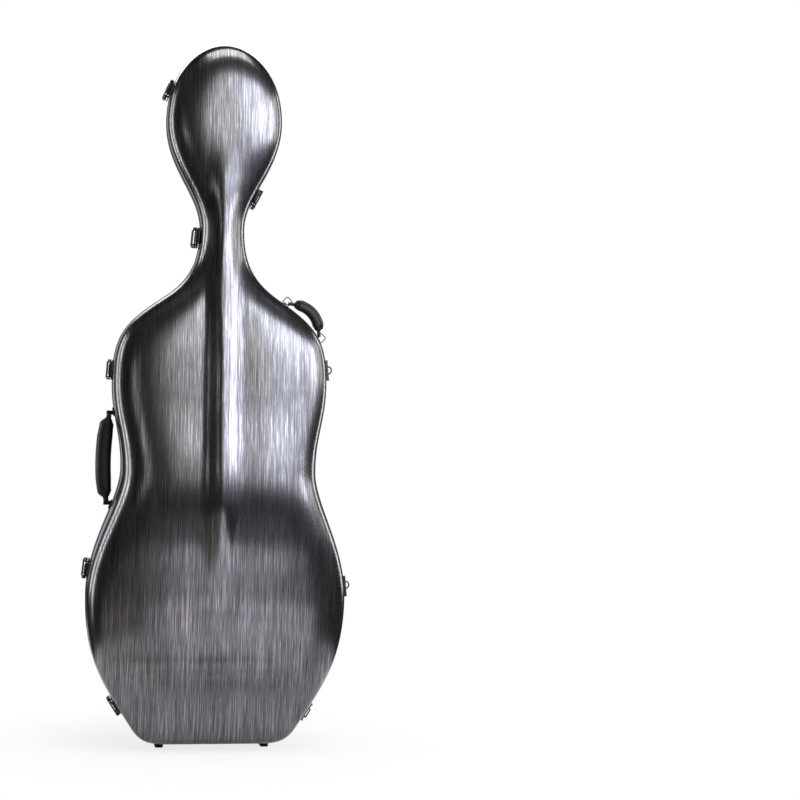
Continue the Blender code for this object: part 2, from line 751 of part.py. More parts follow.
def latch_bail():
    """Wire bail: a U of wire from its pivot on the lever to the bar over the catch."""
    bar_out = KEEPER_CREST + KEEPER_CLEARANCE + BAIL_WIRE_RADIUS
    corner = 0.0026
    rear = Vector((BAIL_PIVOT_OUT, BAIL_PIVOT_BACK, 0))
    front = Vector((bar_out, -BAIL_REACH, 0))
    back_along = (rear - front).normalized()
    points = [rear + Vector((0, 0, -BAIL_HALF_WIDTH))]
    for sign in (-1, 1):
        turn = [front + back_along * corner, front + back_along * corner * 0.29, front]
        inward = [0, corner * 0.29, corner]
        corner_points = [spot + Vector((0, 0, sign * (BAIL_HALF_WIDTH - step)))
                         for spot, step in zip(turn, inward)]
        points += corner_points if sign < 0 else corner_points[::-1]
    points.append(rear + Vector((0, 0, BAIL_HALF_WIDTH)))
    bail = wire_solid("latch_bail", points, BAIL_WIRE_RADIUS, False, black_metal())
    reach = LATCH_HALF_LENGTH - 0.0002
    pivot = rod_solid("pivot_bar", rear + Vector((0, 0, -reach)), rear + Vector((0, 0, reach)),
                      BAIL_WIRE_RADIUS, sides=8)
    combine(bail, [pivot], "UNION")
    bail.data.transform(Matrix.Translation(-rear))
    return bail


def build_latches(base_tree, lid_tree, lid_trim):
    plate = latch_plate()
    lever = latch_lever()
    bail = latch_bail()
    lever_place = Matrix.Translation((LATCH_PIVOT_OUT, LATCH_PIVOT_BACK, 0))
    bail_place = Matrix.Translation((BAIL_PIVOT_OUT, BAIL_PIVOT_BACK, 0))
    sites = [("left", -1, height) for height in LATCH_HEIGHTS_LEFT]
    sites += [("right", 1, height) for height in LATCH_HEIGHTS_RIGHT]
    names = ("head", "neck", "upper_bout", "lower_bout", "bottom", "neck", "bottom")
    keepers = []
    for (side_name, side, height), name in zip(sites, names):
        label = f"{side_name}_{name}"
        rim = rim_frame(height, side)
        half = LATCH_HALF_LENGTH
        base_seat = seated(base_tree, rim, (LATCH_PLATE_START, -half), (LATCH_PLATE_END, half))
        lid_seat = seated(lid_tree, rim, (-KEEPER_PLATE_END, -KEEPER_HALF_LENGTH),
                          (-0.0056, KEEPER_HALF_LENGTH))
        lift = base_seat.translation - rim.translation
        lid_lift = lid_seat.translation - rim.translation
        place = base_seat if lift.length > lid_lift.length else lid_seat
        copy_of(plate, f"latch_plate_{label}", place)
        copy_of(lever, f"latch_lever_{label}", place @ lever_place)
        copy_of(bail, f"latch_bail_{label}", place @ bail_place)
        depth_below = (place.translation - rim.translation).length + 0.0035
        keepers.append(keeper("keeper", place, depth_below))
    for obj in (plate, lever, bail):
        bpy.data.objects.remove(obj, do_unlink=True)
    combine(lid_trim, [one_mesh("keepers", keepers)], "UNION", "MANIFOLD")


def hinge_axis():
    """The two points that the hinge line passes through."""
    upper = rim_frame(HINGE_UPPER_HEIGHT, 1)
    lower = rim_frame(HINGE_LOWER_HEIGHT, 1)
    ends = []
    for frame in (lower, upper):
        out = Vector((1, 0, 0))
        point = frame.translation + out * HINGE_STANDOFF
        ends.append(Vector((point.x, 0, point.z)))
    return ends


def hinge_leaf(name, place, side, tree, trim_tree, rows):
    """Half a hinge: a leaf bent over the trim, with the knuckles that this half owns."""
    radius = HINGE_BARREL_RADIUS
    knuckle = HINGE_LENGTH / 5
    leaf_start = PARTING_GAP / 2 + TRIM_THICKNESS + 0.0012
    leaf_low = leaf_start if side > 0 else -HINGE_LEAF_WIDTH
    leaf_high = HINGE_LEAF_WIDTH if side > 0 else -leaf_start
    seat = seated(tree, place, (leaf_low, -HINGE_LENGTH / 2), (leaf_high, HINGE_LENGTH / 2))
    drop = (place.inverted() @ seat.translation).x
    over_low, over_high = sorted((side * PARTING_GAP, side * TRIM_THICKNESS))
    over_trim = seated(trim_tree, place, (over_low, -HINGE_LENGTH / 2), (over_high, HINGE_LENGTH / 2))
    arm_drop = (place.inverted() @ over_trim.translation).x
    leaf = box_solid(name, (drop, leaf_low, -HINGE_LENGTH / 2),
                     (drop + HINGE_LEAF_THICKNESS, leaf_high, HINGE_LENGTH / 2), black_metal())
    leaf.matrix_world = place
    extras = []
    for index in rows:
        low = -HINGE_LENGTH / 2 + knuckle * index + KNUCKLE_GAP / 2
        high = low + knuckle - KNUCKLE_GAP
        tube = rod_solid("knuckle", (0, 0, low), (0, 0, high), radius)
        inner, outer = sorted((side * radius * 0.35, side * (leaf_start + 0.002)))
        arm = box_solid("knuckle_arm", (arm_drop, inner, low),
                        (arm_drop + HINGE_LEAF_THICKNESS, outer, high))
        for piece in (tube, arm):
            piece.matrix_world = place
            extras.append(piece)
    combine(leaf, extras, "UNION")
    return leaf, drop


def add_side_ring(name, leaf, place, drop):
    """A strap ring in an eye at the back edge of a hinge's base leaf."""
    wire = SIDE_RING_WIRE
    eye_radius = wire + 0.0018
    pivot = place @ Matrix.Translation((drop + eye_radius, HINGE_LEAF_WIDTH + 0.0005, 0))
    eye = rod_solid("eye", (0, 0, -0.003), (0, 0, 0.003), eye_radius)
    reach = SIDE_RING_WIDTH * 0.6
    bore = rod_solid("bore", (0, 0, -reach), (0, 0, reach), wire + RING_CLEARANCE)
    eye.matrix_world = pivot
    bore.matrix_world = pivot
    combine(leaf, [eye], "UNION")
    combine(leaf, [bore], "DIFFERENCE")
    ring = d_ring(name, SIDE_RING_WIDTH, SIDE_RING_DROP, wire, black_metal())
    outwards = Matrix(((0, 0, -1), (-1, 0, 0), (0, 1, 0))).to_4x4()
    ring.matrix_world = pivot @ outwards


def build_hinges(base_tree, lid_tree, base_trim_tree, lid_trim_tree):
    lower, upper = hinge_axis()
    direction = (upper - lower).normalized()
    for label, centre in (("lower", lower), ("upper", upper)):
        out = Vector((direction.z, 0, -direction.x))
        place = frame_matrix(centre, out, direction)
        base_leaf, drop = hinge_leaf(f"hinge_{label}_base_leaf", place, 1,
                                     base_tree, base_trim_tree, (0, 2, 4))
        lid_leaf = hinge_leaf(f"hinge_{label}_lid_leaf", place, -1, lid_tree, lid_trim_tree, (1, 3))[0]
        half = HINGE_LENGTH / 2 - KNUCKLE_GAP
        hole = rod_solid("pin_hole", (0, 0, -half * 1.4), (0, 0, half * 1.4), HINGE_PIN_RADIUS + 0.0005)
        hole.matrix_world = place
        combine(lid_leaf, [hole], "DIFFERENCE")
        pin = rod_solid("pin", (0, 0, -half), (0, 0, half), HINGE_PIN_RADIUS)
        pin.matrix_world = place
        combine(base_leaf, [pin], "UNION")
        add_side_ring(f"strap_side_ring_{label}", base_leaf, place, drop)
    return lower, direction


def arc_points(centre, radius, start, end, count):
    """Points (x, y) on an arc, angles in degrees."""
    points = []
    for step in range(count + 1):
        angle = math.radians(start + (end - start) * step / count)
        points.append((centre[0] + radius * math.cos(angle), centre[1] + radius * math.sin(angle)))
    return points


def d_ring(name, width, drop, wire, finish):
    """A D ring that hangs from its straight bar. Its origin is in the bar, and it hangs along -Z."""
    half = width / 2 - wire
    low = drop - half
    corner = wire * 1.6
    points = [(-half, -low), (-half, -corner), (-half + corner * 0.3, -corner * 0.3), (-half + corner, 0),
              (half - corner, 0), (half - corner * 0.3, -corner * 0.3), (half, -corner), (half, -low)]
    points += arc_points((0, -low), half, 0, -180, 8)[1:-1]
    return wire_solid(name, [(0, x, z) for x, z in points], wire, True, finish)


def strap_plate(name, half_width, half_height, tree, place, round_top=False):
    """A small plate whose lower end carries an eye for a ring's bar."""
    seat = seated(tree, place, (-half_width, -half_height), (half_width, half_height))
    thickness = FITTING_THICKNESS
    corner = 0.3 * half_width
    if round_top:
        outline = [(-half_width, -half_height), (half_width, -half_height)]
        outline += arc_points((0, half_height - half_width), half_width, 0, 180, 10)
    else:
        outline = [(-half_width, -half_height), (half_width, -half_height),
                   (half_width, half_height - corner), (half_width - corner, half_height),
                   (-half_width + corner, half_height), (-half_width, half_height - corner)]
    plate = flat_solid(name, [outline], thickness, black_metal())
    turn = Matrix(((0, 0, 1), (1, 0, 0), (0, 1, 0))).to_4x4()
    plate.data.transform(Matrix.Translation((thickness / 2, 0, 0)) @ turn)
    plate.matrix_world = seat
    return plate, seat


def eye_for(seat, wire, half_length, ring_half, low, offsets):
    """The curled eyes of a plate, and the bores through them."""
    radius = wire + 0.0018
    centre_out = radius
    eyes = []
    bores = []
    for offset in offsets:
        eye = rod_solid("eye", (centre_out, offset - half_length, low),
                        (centre_out, offset + half_length, low), radius)
        bore = rod_solid("bore", (centre_out, offset - ring_half, low),
                         (centre_out, offset + ring_half, low), wire + RING_CLEARANCE)
        eye.matrix_world = seat
        bore.matrix_world = seat
        eyes.append(eye)
        bores.append(bore)
    return eyes, bores, seat @ Matrix.Translation((centre_out, 0, low))


def build_strap_fittings(tree):
    finish = black_metal()
    wire = RING_WIRE_RADIUS
    place = back_frame(tree, 0, HOOK_PLATE_HEIGHT)
    half = HOOK_PLATE_LENGTH / 2
    plate, seat = strap_plate("strap_hook_plate", HOOK_PLATE_WIDTH / 2, half, tree, place)
    eyes, bores, pivot = eye_for(seat, wire, 0.0035, HOOK_RING_WIDTH / 2, -half,
                                (-HOOK_RING_SPACING, HOOK_RING_SPACING))
    combine(plate, eyes, "UNION")
    combine(plate, bores, "DIFFERENCE")
    ring = d_ring("ring", HOOK_RING_WIDTH, HOOK_RING_DROP, wire, finish)
    for name, sign in (("left", -1), ("right", 1)):
        copy_of(ring, f"strap_hook_ring_{name}",
                pivot @ Matrix.Translation((0, sign * HOOK_RING_SPACING, 0)))
    bpy.data.objects.remove(ring, do_unlink=True)

    place = back_frame(tree, 0, HEAD_PLATE_HEIGHT)
    plate, seat = strap_plate("head_ring_plate", HEAD_PLATE_HALF_WIDTH, HEAD_PLATE_HALF_HEIGHT, tree, place)
    eyes, bores, pivot = eye_for(seat, wire, 0.0045, HEAD_RING_WIDTH / 2, -HEAD_PLATE_HALF_HEIGHT, (0,))
    combine(plate, eyes, "UNION")
    combine(plate, bores, "DIFFERENCE")
    ring = d_ring("head_ring", HEAD_RING_WIDTH, HEAD_RING_DROP, wire, finish)
    ring.matrix_world = pivot

    ring = d_ring("ring", BOTTOM_RING_WIDTH, BOTTOM_RING_DROP, wire, finish)
    for name, sign in (("left", -1), ("right", 1)):
        place = back_frame(tree, sign * BOTTOM_PLATE_HALF_SPACING, BOTTOM_PLATE_HEIGHT)
        plate, seat = strap_plate(f"bottom_ring_plate_{name}", SMALL_PLATE_HALF_WIDTH,
                                  SMALL_PLATE_HALF_HEIGHT, tree, place, True)
        eyes, bores, pivot = eye_for(seat, wire, 0.0050, BOTTOM_RING_WIDTH / 2,
                                    -SMALL_PLATE_HALF_HEIGHT, (0,))
        combine(plate, eyes, "UNION")
        combine(plate, bores, "DIFFERENCE")
        copy_of(ring, f"bottom_ring_{name}", pivot)
    bpy.data.objects.remove(ring, do_unlink=True)


def turned(name, profile, finish, steps=16):
    """A solid turned about local X from a profile of (x, radius), which starts and ends on the axis."""
    mesh = bpy.data.meshes.new(name)
    bm = bmesh.new()
    points = [bm.verts.new((x, radius, 0)) for x, radius in profile]
    for first, second in zip(points, points[1:]):
        bm.edges.new((first, second))
    bm.to_mesh(mesh)
    bm.free()
    obj = finish_object(name, mesh, finish)
    spin = obj.modifiers.new("turn", "SCREW")
    spin.axis = "X"
    spin.steps = steps
    spin.render_steps = steps
    spin.use_merge_vertices = True
    spin.merge_threshold = 0.00002
    bpy.context.view_layer.update()
    made = bpy.data.meshes.new_from_object(obj.evaluated_get(bpy.context.evaluated_depsgraph_get()))
    obj.modifiers.clear()
    bm = bmesh.new()
    bm.from_mesh(made)
    bmesh.ops.recalc_face_normals(bm, faces=bm.faces)
    bm.to_mesh(made)
    bm.free()
    obj.data = made
    shade_round(made)
    return obj


def build_bumper(tree):
    """Round rubber bumper that the case rests on when it is laid down."""
    place = back_frame(tree, 0, BUMPER_HEIGHT)
    seat = seated(tree, place, (-BUMPER_RADIUS * 0.7, -BUMPER_RADIUS * 0.7),
                  (BUMPER_RADIUS * 0.7, BUMPER_RADIUS * 0.7))
    edge = 0.0015
    profile = ((0, 0), (0, BUMPER_RADIUS), (BUMPER_THICKNESS - edge, BUMPER_RADIUS * 0.88),
               (BUMPER_THICKNESS, BUMPER_RADIUS * 0.78), (BUMPER_THICKNESS, 0))
    bumper = turned("back_bumper", profile, rubber())
    bumper.matrix_world = seat


def build_feet():
    """Two rubber feet under the front of the base."""
    for name, sign in (("left", -1), ("right", 1)):
        bm = bmesh.new()
        bmesh.ops.create_cube(bm, size=1)
        top = BOTTOM - GAP
        for vert in bm.verts:
            narrow = 1.0 if vert.co.z > 0 else 0.88
            vert.co.x = sign * FOOT_HALF_SPACING + vert.co.x * FOOT_WIDTH * narrow
            vert.co.y = FOOT_BACK + vert.co.y * FOOT_LENGTH * narrow
            vert.co.z = top if vert.co.z > 0 else 0.0
        mesh = bpy.data.meshes.new(f"foot_{name}")
        bm.to_mesh(mesh)
        bm.free()
        foot = finish_object(f"foot_{name}", mesh, rubber())
        bevel_edges(foot, 0.0012)


def base_seat_cutter():
    """The base's outer form, a gap larger, to cut the faces of what sits on its rounded back."""
    mesh = bpy.data.meshes.new("base_seat")
    bm = half_surface(1, SHELL_COLUMNS)
    bm.to_mesh(mesh)
    bm.free()
    cutter = finish_object("base_seat", mesh, None, CUTTERS)
    mirrored(cutter)
    swell = cutter.modifiers.new("gap", "DISPLACE")
    swell.strength = GAP
    swell.mid_level = 0
    depth = cutter.modifiers.new("depth", "SOLIDIFY")
    depth.thickness = 0.030
    depth.offset = -1
    return cutter


def bracket_outline():
    """Side outline (y, z) of a wheel bracket, before its front face is cut to the base."""
    front = BRACKET_BACK - 0.070
    return [(front, BRACKET_BOTTOM), (BRACKET_BACK - 0.030, BRACKET_TOP),
            (BRACKET_BACK - BRACKET_CHAMFER, BRACKET_TOP), (BRACKET_BACK, BRACKET_TOP - BRACKET_CHAMFER),
            (BRACKET_BACK, BRACKET_BOTTOM)]


def build_wheels():
    """Two wheels in forked brackets at the bottom of the back."""
    bracket_half = BRACKET_WIDTH / 2
    outline = bracket_outline()
    for name, sign in (("left", -1), ("right", 1)):
        x = sign * WHEEL_HALF_SPACING
        axle_height = WHEEL_RADIUS
        bracket = flat_solid(f"wheel_bracket_{name}", [outline], BRACKET_WIDTH, black_metal())
        turn = Matrix(((0, 0, 1), (1, 0, 0), (0, 1, 0))).to_4x4()
        bracket.data.transform(turn)
        for vert in bracket.data.vertices:
            share = (vert.co.z - BRACKET_BOTTOM) / (BRACKET_TOP - BRACKET_BOTTOM)
            vert.co.x *= 1 - share * (1 - BRACKET_TOP_WIDTH / BRACKET_WIDTH)
        bracket.data.transform(Matrix.Translation((x, 0, 0)))
        slot_half = BRACKET_SLOT / 2
        arch = WHEEL_RADIUS + 0.0035
        slot = box_solid("slot", (x - slot_half, WHEEL_BACK - arch * 3, 0.0),
                         (x + slot_half, WHEEL_BACK + arch * 2, axle_height))
        relief = rod_solid("relief", (x - slot_half, WHEEL_BACK, axle_height),
                           (x + slot_half, WHEEL_BACK, axle_height), arch, sides=20)
        combine(bracket, [base_seat_cutter()], "DIFFERENCE")
        combine(bracket, [slot, relief], "DIFFERENCE")
        axle = rod_solid("axle", (x - bracket_half * 0.8, WHEEL_BACK, axle_height),
                         (x + bracket_half * 0.8, WHEEL_BACK, axle_height), AXLE_RADIUS)
        combine(bracket, [axle], "UNION")
        half = WHEEL_WIDTH / 2
        bore = AXLE_RADIUS + AXLE_CLEARANCE
        edge = 0.002
        hub = WHEEL_RADIUS * 0.45
        profile = ((half, bore), (half, hub), (half - edge, hub + edge), (half - edge, WHEEL_RADIUS * 0.78),
                   (half, WHEEL_RADIUS * 0.82), (half, WHEEL_RADIUS - edge), (half - edge, WHEEL_RADIUS),
                   (-half + edge, WHEEL_RADIUS), (-half, WHEEL_RADIUS - edge), (-half, WHEEL_RADIUS * 0.82),
                   (-half + edge, WHEEL_RADIUS * 0.78), (-half + edge, hub + edge), (-half, hub),
                   (-half, bore), (half, bore))
        wheel = turned(f"wheel_{name}", profile, clear_urethane(), 16)
        wheel.matrix_world = Matrix.Translation((x, WHEEL_BACK, axle_height))


def pad_solid(name, spine, radius_out, radius_back, finish, sides=10, fullness=2.6):
    """A padded grip: rounded sections along a path of (out, along), thick out and wide back."""
    bm = bmesh.new()
    rings = []
    for index, (out, along, scale) in enumerate(spine):
        before = spine[max(index - 1, 0)]
        after = spine[min(index + 1, len(spine) - 1)]
        run = Vector((after[0] - before[0], after[1] - before[1])).normalized()
        if index in (0, len(spine) - 1):
            run = Vector((0, 1))
        ring = []
        for step in range(sides):
            angle = 2 * math.pi * (step + 0.5) / sides
            c, s = math.cos(angle), math.sin(angle)
            size = (abs(c) ** fullness + abs(s) ** fullness) ** (-1 / fullness)
            thick = c * size * radius_out * scale
            wide = s * size * radius_back * (0.22 + 0.78 * scale)
            ring.append(bm.verts.new((out + run.y * thick, wide, along - run.x * thick)))
        rings.append(ring)
    for lower, upper in zip(rings, rings[1:]):
        for step in range(sides):
            after = (step + 1) % sides
            bm.faces.new((lower[step], lower[after], upper[after], upper[step]))
    bm.faces.new(rings[0])
    bm.faces.new(rings[-1])
    bmesh.ops.recalc_face_normals(bm, faces=bm.faces)
    mesh = bpy.data.meshes.new(name)
    bm.to_mesh(mesh)
    bm.free()
    shade_round(mesh, 50)
    return finish_object(name, mesh, finish)


def handle_pivot(height, side, out):
    rim = rim_frame(height, side)
    return rim, rim @ Vector((out, HANDLE_BACK, 0))


def handle_anchor(name, tree, rim, hold, along, lug_length, lug_radius):
    """A plate on the base's side with a lug on the handle's pivot line."""
    half = ANCHOR_PLATE_HALF
    low = (HANDLE_BACK - half, -half)
    high = (HANDLE_BACK + half, half)
    seat = seated(tree, rim, low, high)
    base = (rim.inverted() @ seat.translation).x
    plate = box_solid(name, (base, low[0], low[1]), (base + FITTING_THICKNESS, high[0], high[1]),
                      black_metal())
    plate.matrix_world = rim
    pivot_out = (rim.inverted() @ (hold @ Vector((0, 0, along)))).x
    foot = pivot_out - base - FITTING_THICKNESS / 2
    lug = rod_solid("lug", (0, 0, along - lug_length / 2), (0, 0, along + lug_length / 2), lug_radius)
    web = box_solid("web", (-foot, -lug_radius * 0.9, along - lug_length * 0.49),
                    (0, lug_radius * 0.9, along + lug_length * 0.49))
    for piece in (lug, web):
        piece.matrix_world = hold
    return combine(plate, [lug, web], "UNION")


def handle_frame(lower, upper, side):
    """A place midway between two pivot points: local X out, Z along the grip."""
    across = (upper - lower).normalized()
    out = Vector((across.z, 0, -across.x)) * side
    return frame_matrix((lower + upper) / 2, out, across * side)


def build_carry_handle(tree):
    """Padded grip on the left side that swings on two stub pins."""
    half_span = CARRY_HANDLE_SPAN / 2
    low_rim, lower = handle_pivot(CARRY_HANDLE_HEIGHT - half_span, -1, CARRY_PIVOT_OUT)
    high_rim, upper = handle_pivot(CARRY_HANDLE_HEIGHT + half_span, -1, CARRY_PIVOT_OUT)
    hold = handle_frame(lower, upper, -1)
    half = (upper - lower).length / 2
    stub_end = half - ANCHOR_LUG_LENGTH / 2 - STUB_LENGTH
    for name, rim, sign in (("lower", low_rim, 1), ("upper", high_rim, -1)):
        along = sign * half
        anchor = handle_anchor(f"carry_handle_anchor_{name}", tree, rim, hold, along,
                               ANCHOR_LUG_LENGTH, ANCHOR_LUG_RADIUS)
        stub = rod_solid("stub", (0, 0, along), (0, 0, sign * stub_end), HANDLE_PIN_RADIUS)
        stub.matrix_world = hold
        combine(anchor, [stub], "UNION")
    reach = half - ANCHOR_LUG_LENGTH / 2 - GAP
    neck = CARRY_PAD_LENGTH / 2
    spine = []
    for along, share in ((reach, 0.36), (neck + 0.004, 0.38), (neck, 0.62), (neck * 0.88, 0.90),
                         (neck * 0.5, 1.0), (0, 1.0)):
        spine.append((CARRY_PAD_RISE * (1 - (along / reach) ** 2), along, share))
    spine = [(out, -along, share) for out, along, share in spine[:-1]] + spine[::-1]
    grip = pad_solid("carry_handle_grip", spine, CARRY_PAD_THICKNESS / 2, CARRY_PAD_WIDTH / 2, leather())
    bores = []
    for sign in (-1, 1):
        bores.append(rod_solid("bore", (0, 0, sign * (half + 0.002)), (0, 0, sign * (stub_end - GAP)),
                               HANDLE_PIN_RADIUS + PIN_CLEARANCE))
    combine(grip, bores, "DIFFERENCE")
    grip.matrix_world = hold


def square_link(name, size, wire, finish):
    """A square wire link in local X and Z, with its inner bar on the pivot line."""
    half = size / 2
    cut = wire * 1.5
    points = [(0, -half + cut), (cut, -half), (size - cut, -half), (size, -half + cut),
              (size, half - cut), (size - cut, half), (cut, half), (0, half - cut)]
    return wire_solid(name, [(x, 0, z) for x, z in points], wire, True, finish)


def build_shoulder_handle(tree):
    """Short arched grip on the right shoulder, hung on two square links."""
    low_rim, lower = handle_pivot(SHOULDER_RING_LOWER_HEIGHT, 1, SHOULDER_PIVOT_OUT)
    high_rim, upper = handle_pivot(SHOULDER_RING_UPPER_HEIGHT, 1, SHOULDER_PIVOT_OUT)
    hold = handle_frame(lower, upper, 1)
    half = (upper - lower).length / 2
    lug_radius = RING_LINK_WIRE + 0.0020
    bar = half - RING_LINK_SIZE / 2
    link = square_link("link", RING_LINK_SIZE, RING_LINK_WIRE, black_metal())
    for name, rim, sign in (("lower", low_rim, -1), ("upper", high_rim, 1)):
        anchor = handle_anchor(f"shoulder_handle_anchor_{name}", tree, rim, hold, sign * half,
                               0.0060, lug_radius)
        bore = rod_solid("bore", (0, 0, sign * half - 0.012), (0, 0, sign * half + 0.012),
                         RING_LINK_WIRE + PIN_CLEARANCE)
        bore.matrix_world = hold
        combine(anchor, [bore], "DIFFERENCE")
        copy_of(link, f"shoulder_handle_link_{name}", hold @ Matrix.Translation((0, 0, sign * half)))
    bpy.data.objects.remove(link, do_unlink=True)
    reach = bar + 0.0034
    swell = max((hold.inverted() @ Vector((point.x, HANDLE_BACK, point.y))).x
                for point in (outline_point(t) for t in outline_steps()) if lower.z < point.y < upper.z)
    rise = swell + SHOULDER_FINGER_ROOM + SHOULDER_PAD_THICKNESS / 2 - SHOULDER_PAD_TIP
    spine = []
    stations = ((reach, 0.34), (bar - 0.006, 0.36), (bar - 0.009, 0.75), (bar * 0.60, 1.0), (0, 1.0))
    for along, share in stations:
        spine.append((SHOULDER_PAD_TIP + rise * (1 - (along / reach) ** 2), along, share))
    spine = [(out, -along, share) for out, along, share in spine[:-1]] + spine[::-1]
    grip = pad_solid("shoulder_handle_grip", spine, SHOULDER_PAD_THICKNESS / 2,
                     SHOULDER_PAD_WIDTH / 2, leather())
    bores = []
    for sign in (-1, 1):
        bores.append(rod_solid("bore", (-0.004, 0, sign * bar), (RING_LINK_SIZE + 0.008, 0, sign * bar),
                               RING_LINK_WIRE + PIN_CLEARANCE))
    combine(grip, bores, "DIFFERENCE")
    grip.matrix_world = hold


def build_inside(base_tree, lid_tree):
    """Neck cradle with its strap in the base, and a bow pocket and turn knob in the lid."""
    half = CRADLE_HALF_WIDTH
    low = CRADLE_HEIGHT - CRADLE_HALF_HEIGHT
    high = CRADLE_HEIGHT + CRADLE_HALF_HEIGHT
    spots = [Vector((x, 0, z)) for x in (-half, 0, half) for z in (low, CRADLE_HEIGHT, high)]
    back = min(base_tree.ray_cast(spot, Vector((0, 1, 0)))[0].y for spot in spots)
    cradle = box_solid("neck_cradle", (-half, CRADLE_FRONT, low), (half, back - GAP, high), plush())
    groove = rod_solid("groove", (0, CRADLE_FRONT, low - 0.01), (0, CRADLE_FRONT, high + 0.01),
                       CRADLE_GROOVE_RADIUS, sides=16)
    combine(cradle, [groove], "DIFFERENCE")
    bevel_edges(cradle, 0.0015)

    hit = lid_tree.ray_cast(Vector((POCKET_X, 0, POCKET_HEIGHT)), Vector((0, -1, 0)))[0]
    wide = POCKET_HALF_WIDTH
    tall = POCKET_HALF_HEIGHT
    frame = frame_matrix(hit, Vector((0, 1, 0)), Vector((0, 0, 1)))
    seat = seated(lid_tree, frame, (-wide, -tall), (wide, tall))
    pocket = box_solid("bow_pocket", (0, -wide, -tall), (POCKET_THICKNESS, wide, tall), plush())
    mouth = box_solid("mouth", (0.0030, -wide + 0.003, -tall + 0.004),
                      (POCKET_THICKNESS - 0.003, wide - 0.003, tall + 0.01))
    combine(pocket, [mouth], "DIFFERENCE")
    pocket.matrix_world = seat

    hit = lid_tree.ray_cast(Vector((POCKET_X, 0, TURN_KNOB_HEIGHT)), Vector((0, -1, 0)))[0]
    frame = frame_matrix(hit, Vector((0, 1, 0)), Vector((0, 0, 1)))
    radius = TURN_KNOB_RADIUS
    hub = TURN_KNOB_HUB_RADIUS
    seat = seated(lid_tree, frame, (-hub, -hub), (hub, hub))
    edge = 0.0012
    low = TURN_KNOB_HUB_LENGTH
    high = low + TURN_KNOB_THICKNESS
    profile = ((0, 0), (0, hub), (low, hub), (low, radius), (low + edge, radius),
               (high, radius * 0.8), (high, 0))
    knob = turned("bow_turn_knob", profile, black_metal(), 14)
    knob.matrix_world = seat


def stand_on_origin():
    """Moves the case so that the middle of its lowest face is the origin."""
    bpy.context.view_layer.update()
    graph = bpy.context.evaluated_depsgraph_get()
    low = Vector((9, 9, 9))
    high = Vector((-9, -9, -9))
    for obj in CASE.objects:
        mesh = obj.evaluated_get(graph).to_mesh()
        for vert in mesh.vertices:
            point = obj.matrix_world @ vert.co
            low = Vector(map(min, low, point))
            high = Vector(map(max, high, point))
    middle = Vector(((low.x + high.x) / 2, (low.y + high.y) / 2, low.z))
    for obj in CASE.objects:
        obj.matrix_world = Matrix.Translation(-middle) @ obj.matrix_world
    return -middle


def add_axis(name, place, nodes):
    """An empty on a joint's axis, with its local Z along it, that carries the nodes that turn."""
    axis = bpy.data.objects.new(name, None)
    axis.empty_display_size = 0.05
    CASE.objects.link(axis)
    axis.matrix_world = place
    bpy.context.view_layer.update()
    for node in nodes:
        keep = node.matrix_world.copy()
        node.parent = axis
        node.matrix_parent_inverse = place.inverted()
        node.matrix_world = keep


def main():
    base = moulded_shell("base_shell", 1)
    lid = moulded_shell("lid_shell", -1)
    base_lining = lining("base_lining", 1)
    lid_lining = lining("lid_lining", -1)
    base_trim = edge_trim("base_edge_trim", 1)
    lid_trim = edge_trim("lid_edge_trim", -1)
    base_tree = surface_tree(base)
    lid_tree = surface_tree(lid)
    build_latches(base_tree, lid_tree, lid_trim)
    hinge_point, hinge_line = build_hinges(base_tree, lid_tree, surface_tree(base_trim),
                                           surface_tree(lid_trim))
    build_strap_fittings(base_tree)
    build_bumper(base_tree)
    build_feet()
    build_wheels()
    build_carry_handle(base_tree)
    build_shoulder_handle(base_tree)
    build_inside(surface_tree(base_lining), surface_tree(lid_lining))
    shift = stand_on_origin()
    out = Vector((hinge_line.z, 0, -hinge_line.x))
    hinge_place = frame_matrix(hinge_point + shift, out, hinge_line)
    lid_names = ("lid_shell", "lid_edge_trim", "lid_lining", "hinge_lower_lid_leaf",
                 "hinge_upper_lid_leaf", "bow_pocket", "bow_turn_knob")
    add_axis("lid_axis", hinge_place, [CASE.objects[name] for name in lid_names])


main()
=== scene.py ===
import json
import math

import bmesh
import bpy
from mathutils import Matrix, Vector
from mathutils.bvhtree import BVHTree


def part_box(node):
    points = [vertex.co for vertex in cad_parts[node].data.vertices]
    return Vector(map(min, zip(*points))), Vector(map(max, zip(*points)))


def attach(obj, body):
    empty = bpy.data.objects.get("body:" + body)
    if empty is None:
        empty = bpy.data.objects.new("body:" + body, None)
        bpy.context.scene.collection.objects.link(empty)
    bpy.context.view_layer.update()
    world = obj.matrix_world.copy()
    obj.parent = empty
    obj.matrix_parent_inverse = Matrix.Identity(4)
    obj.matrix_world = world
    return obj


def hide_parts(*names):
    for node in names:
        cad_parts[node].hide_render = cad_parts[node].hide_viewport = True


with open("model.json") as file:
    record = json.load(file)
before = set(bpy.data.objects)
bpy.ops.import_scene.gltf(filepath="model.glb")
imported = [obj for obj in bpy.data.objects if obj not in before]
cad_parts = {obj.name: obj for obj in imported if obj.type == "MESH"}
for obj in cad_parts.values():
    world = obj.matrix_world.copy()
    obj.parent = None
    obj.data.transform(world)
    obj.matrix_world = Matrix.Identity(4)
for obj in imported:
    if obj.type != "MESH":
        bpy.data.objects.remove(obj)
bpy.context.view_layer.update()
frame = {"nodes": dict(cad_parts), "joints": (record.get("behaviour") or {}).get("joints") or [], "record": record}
print("frame loaded:", len(frame["nodes"]), "nodes")

mm = 0.001
weldGap = 0.00002       # metres between points that are one
jointsByName = {joint["name"]: joint for joint in frame["joints"]}
slotOfFinish = {}


# small helpers

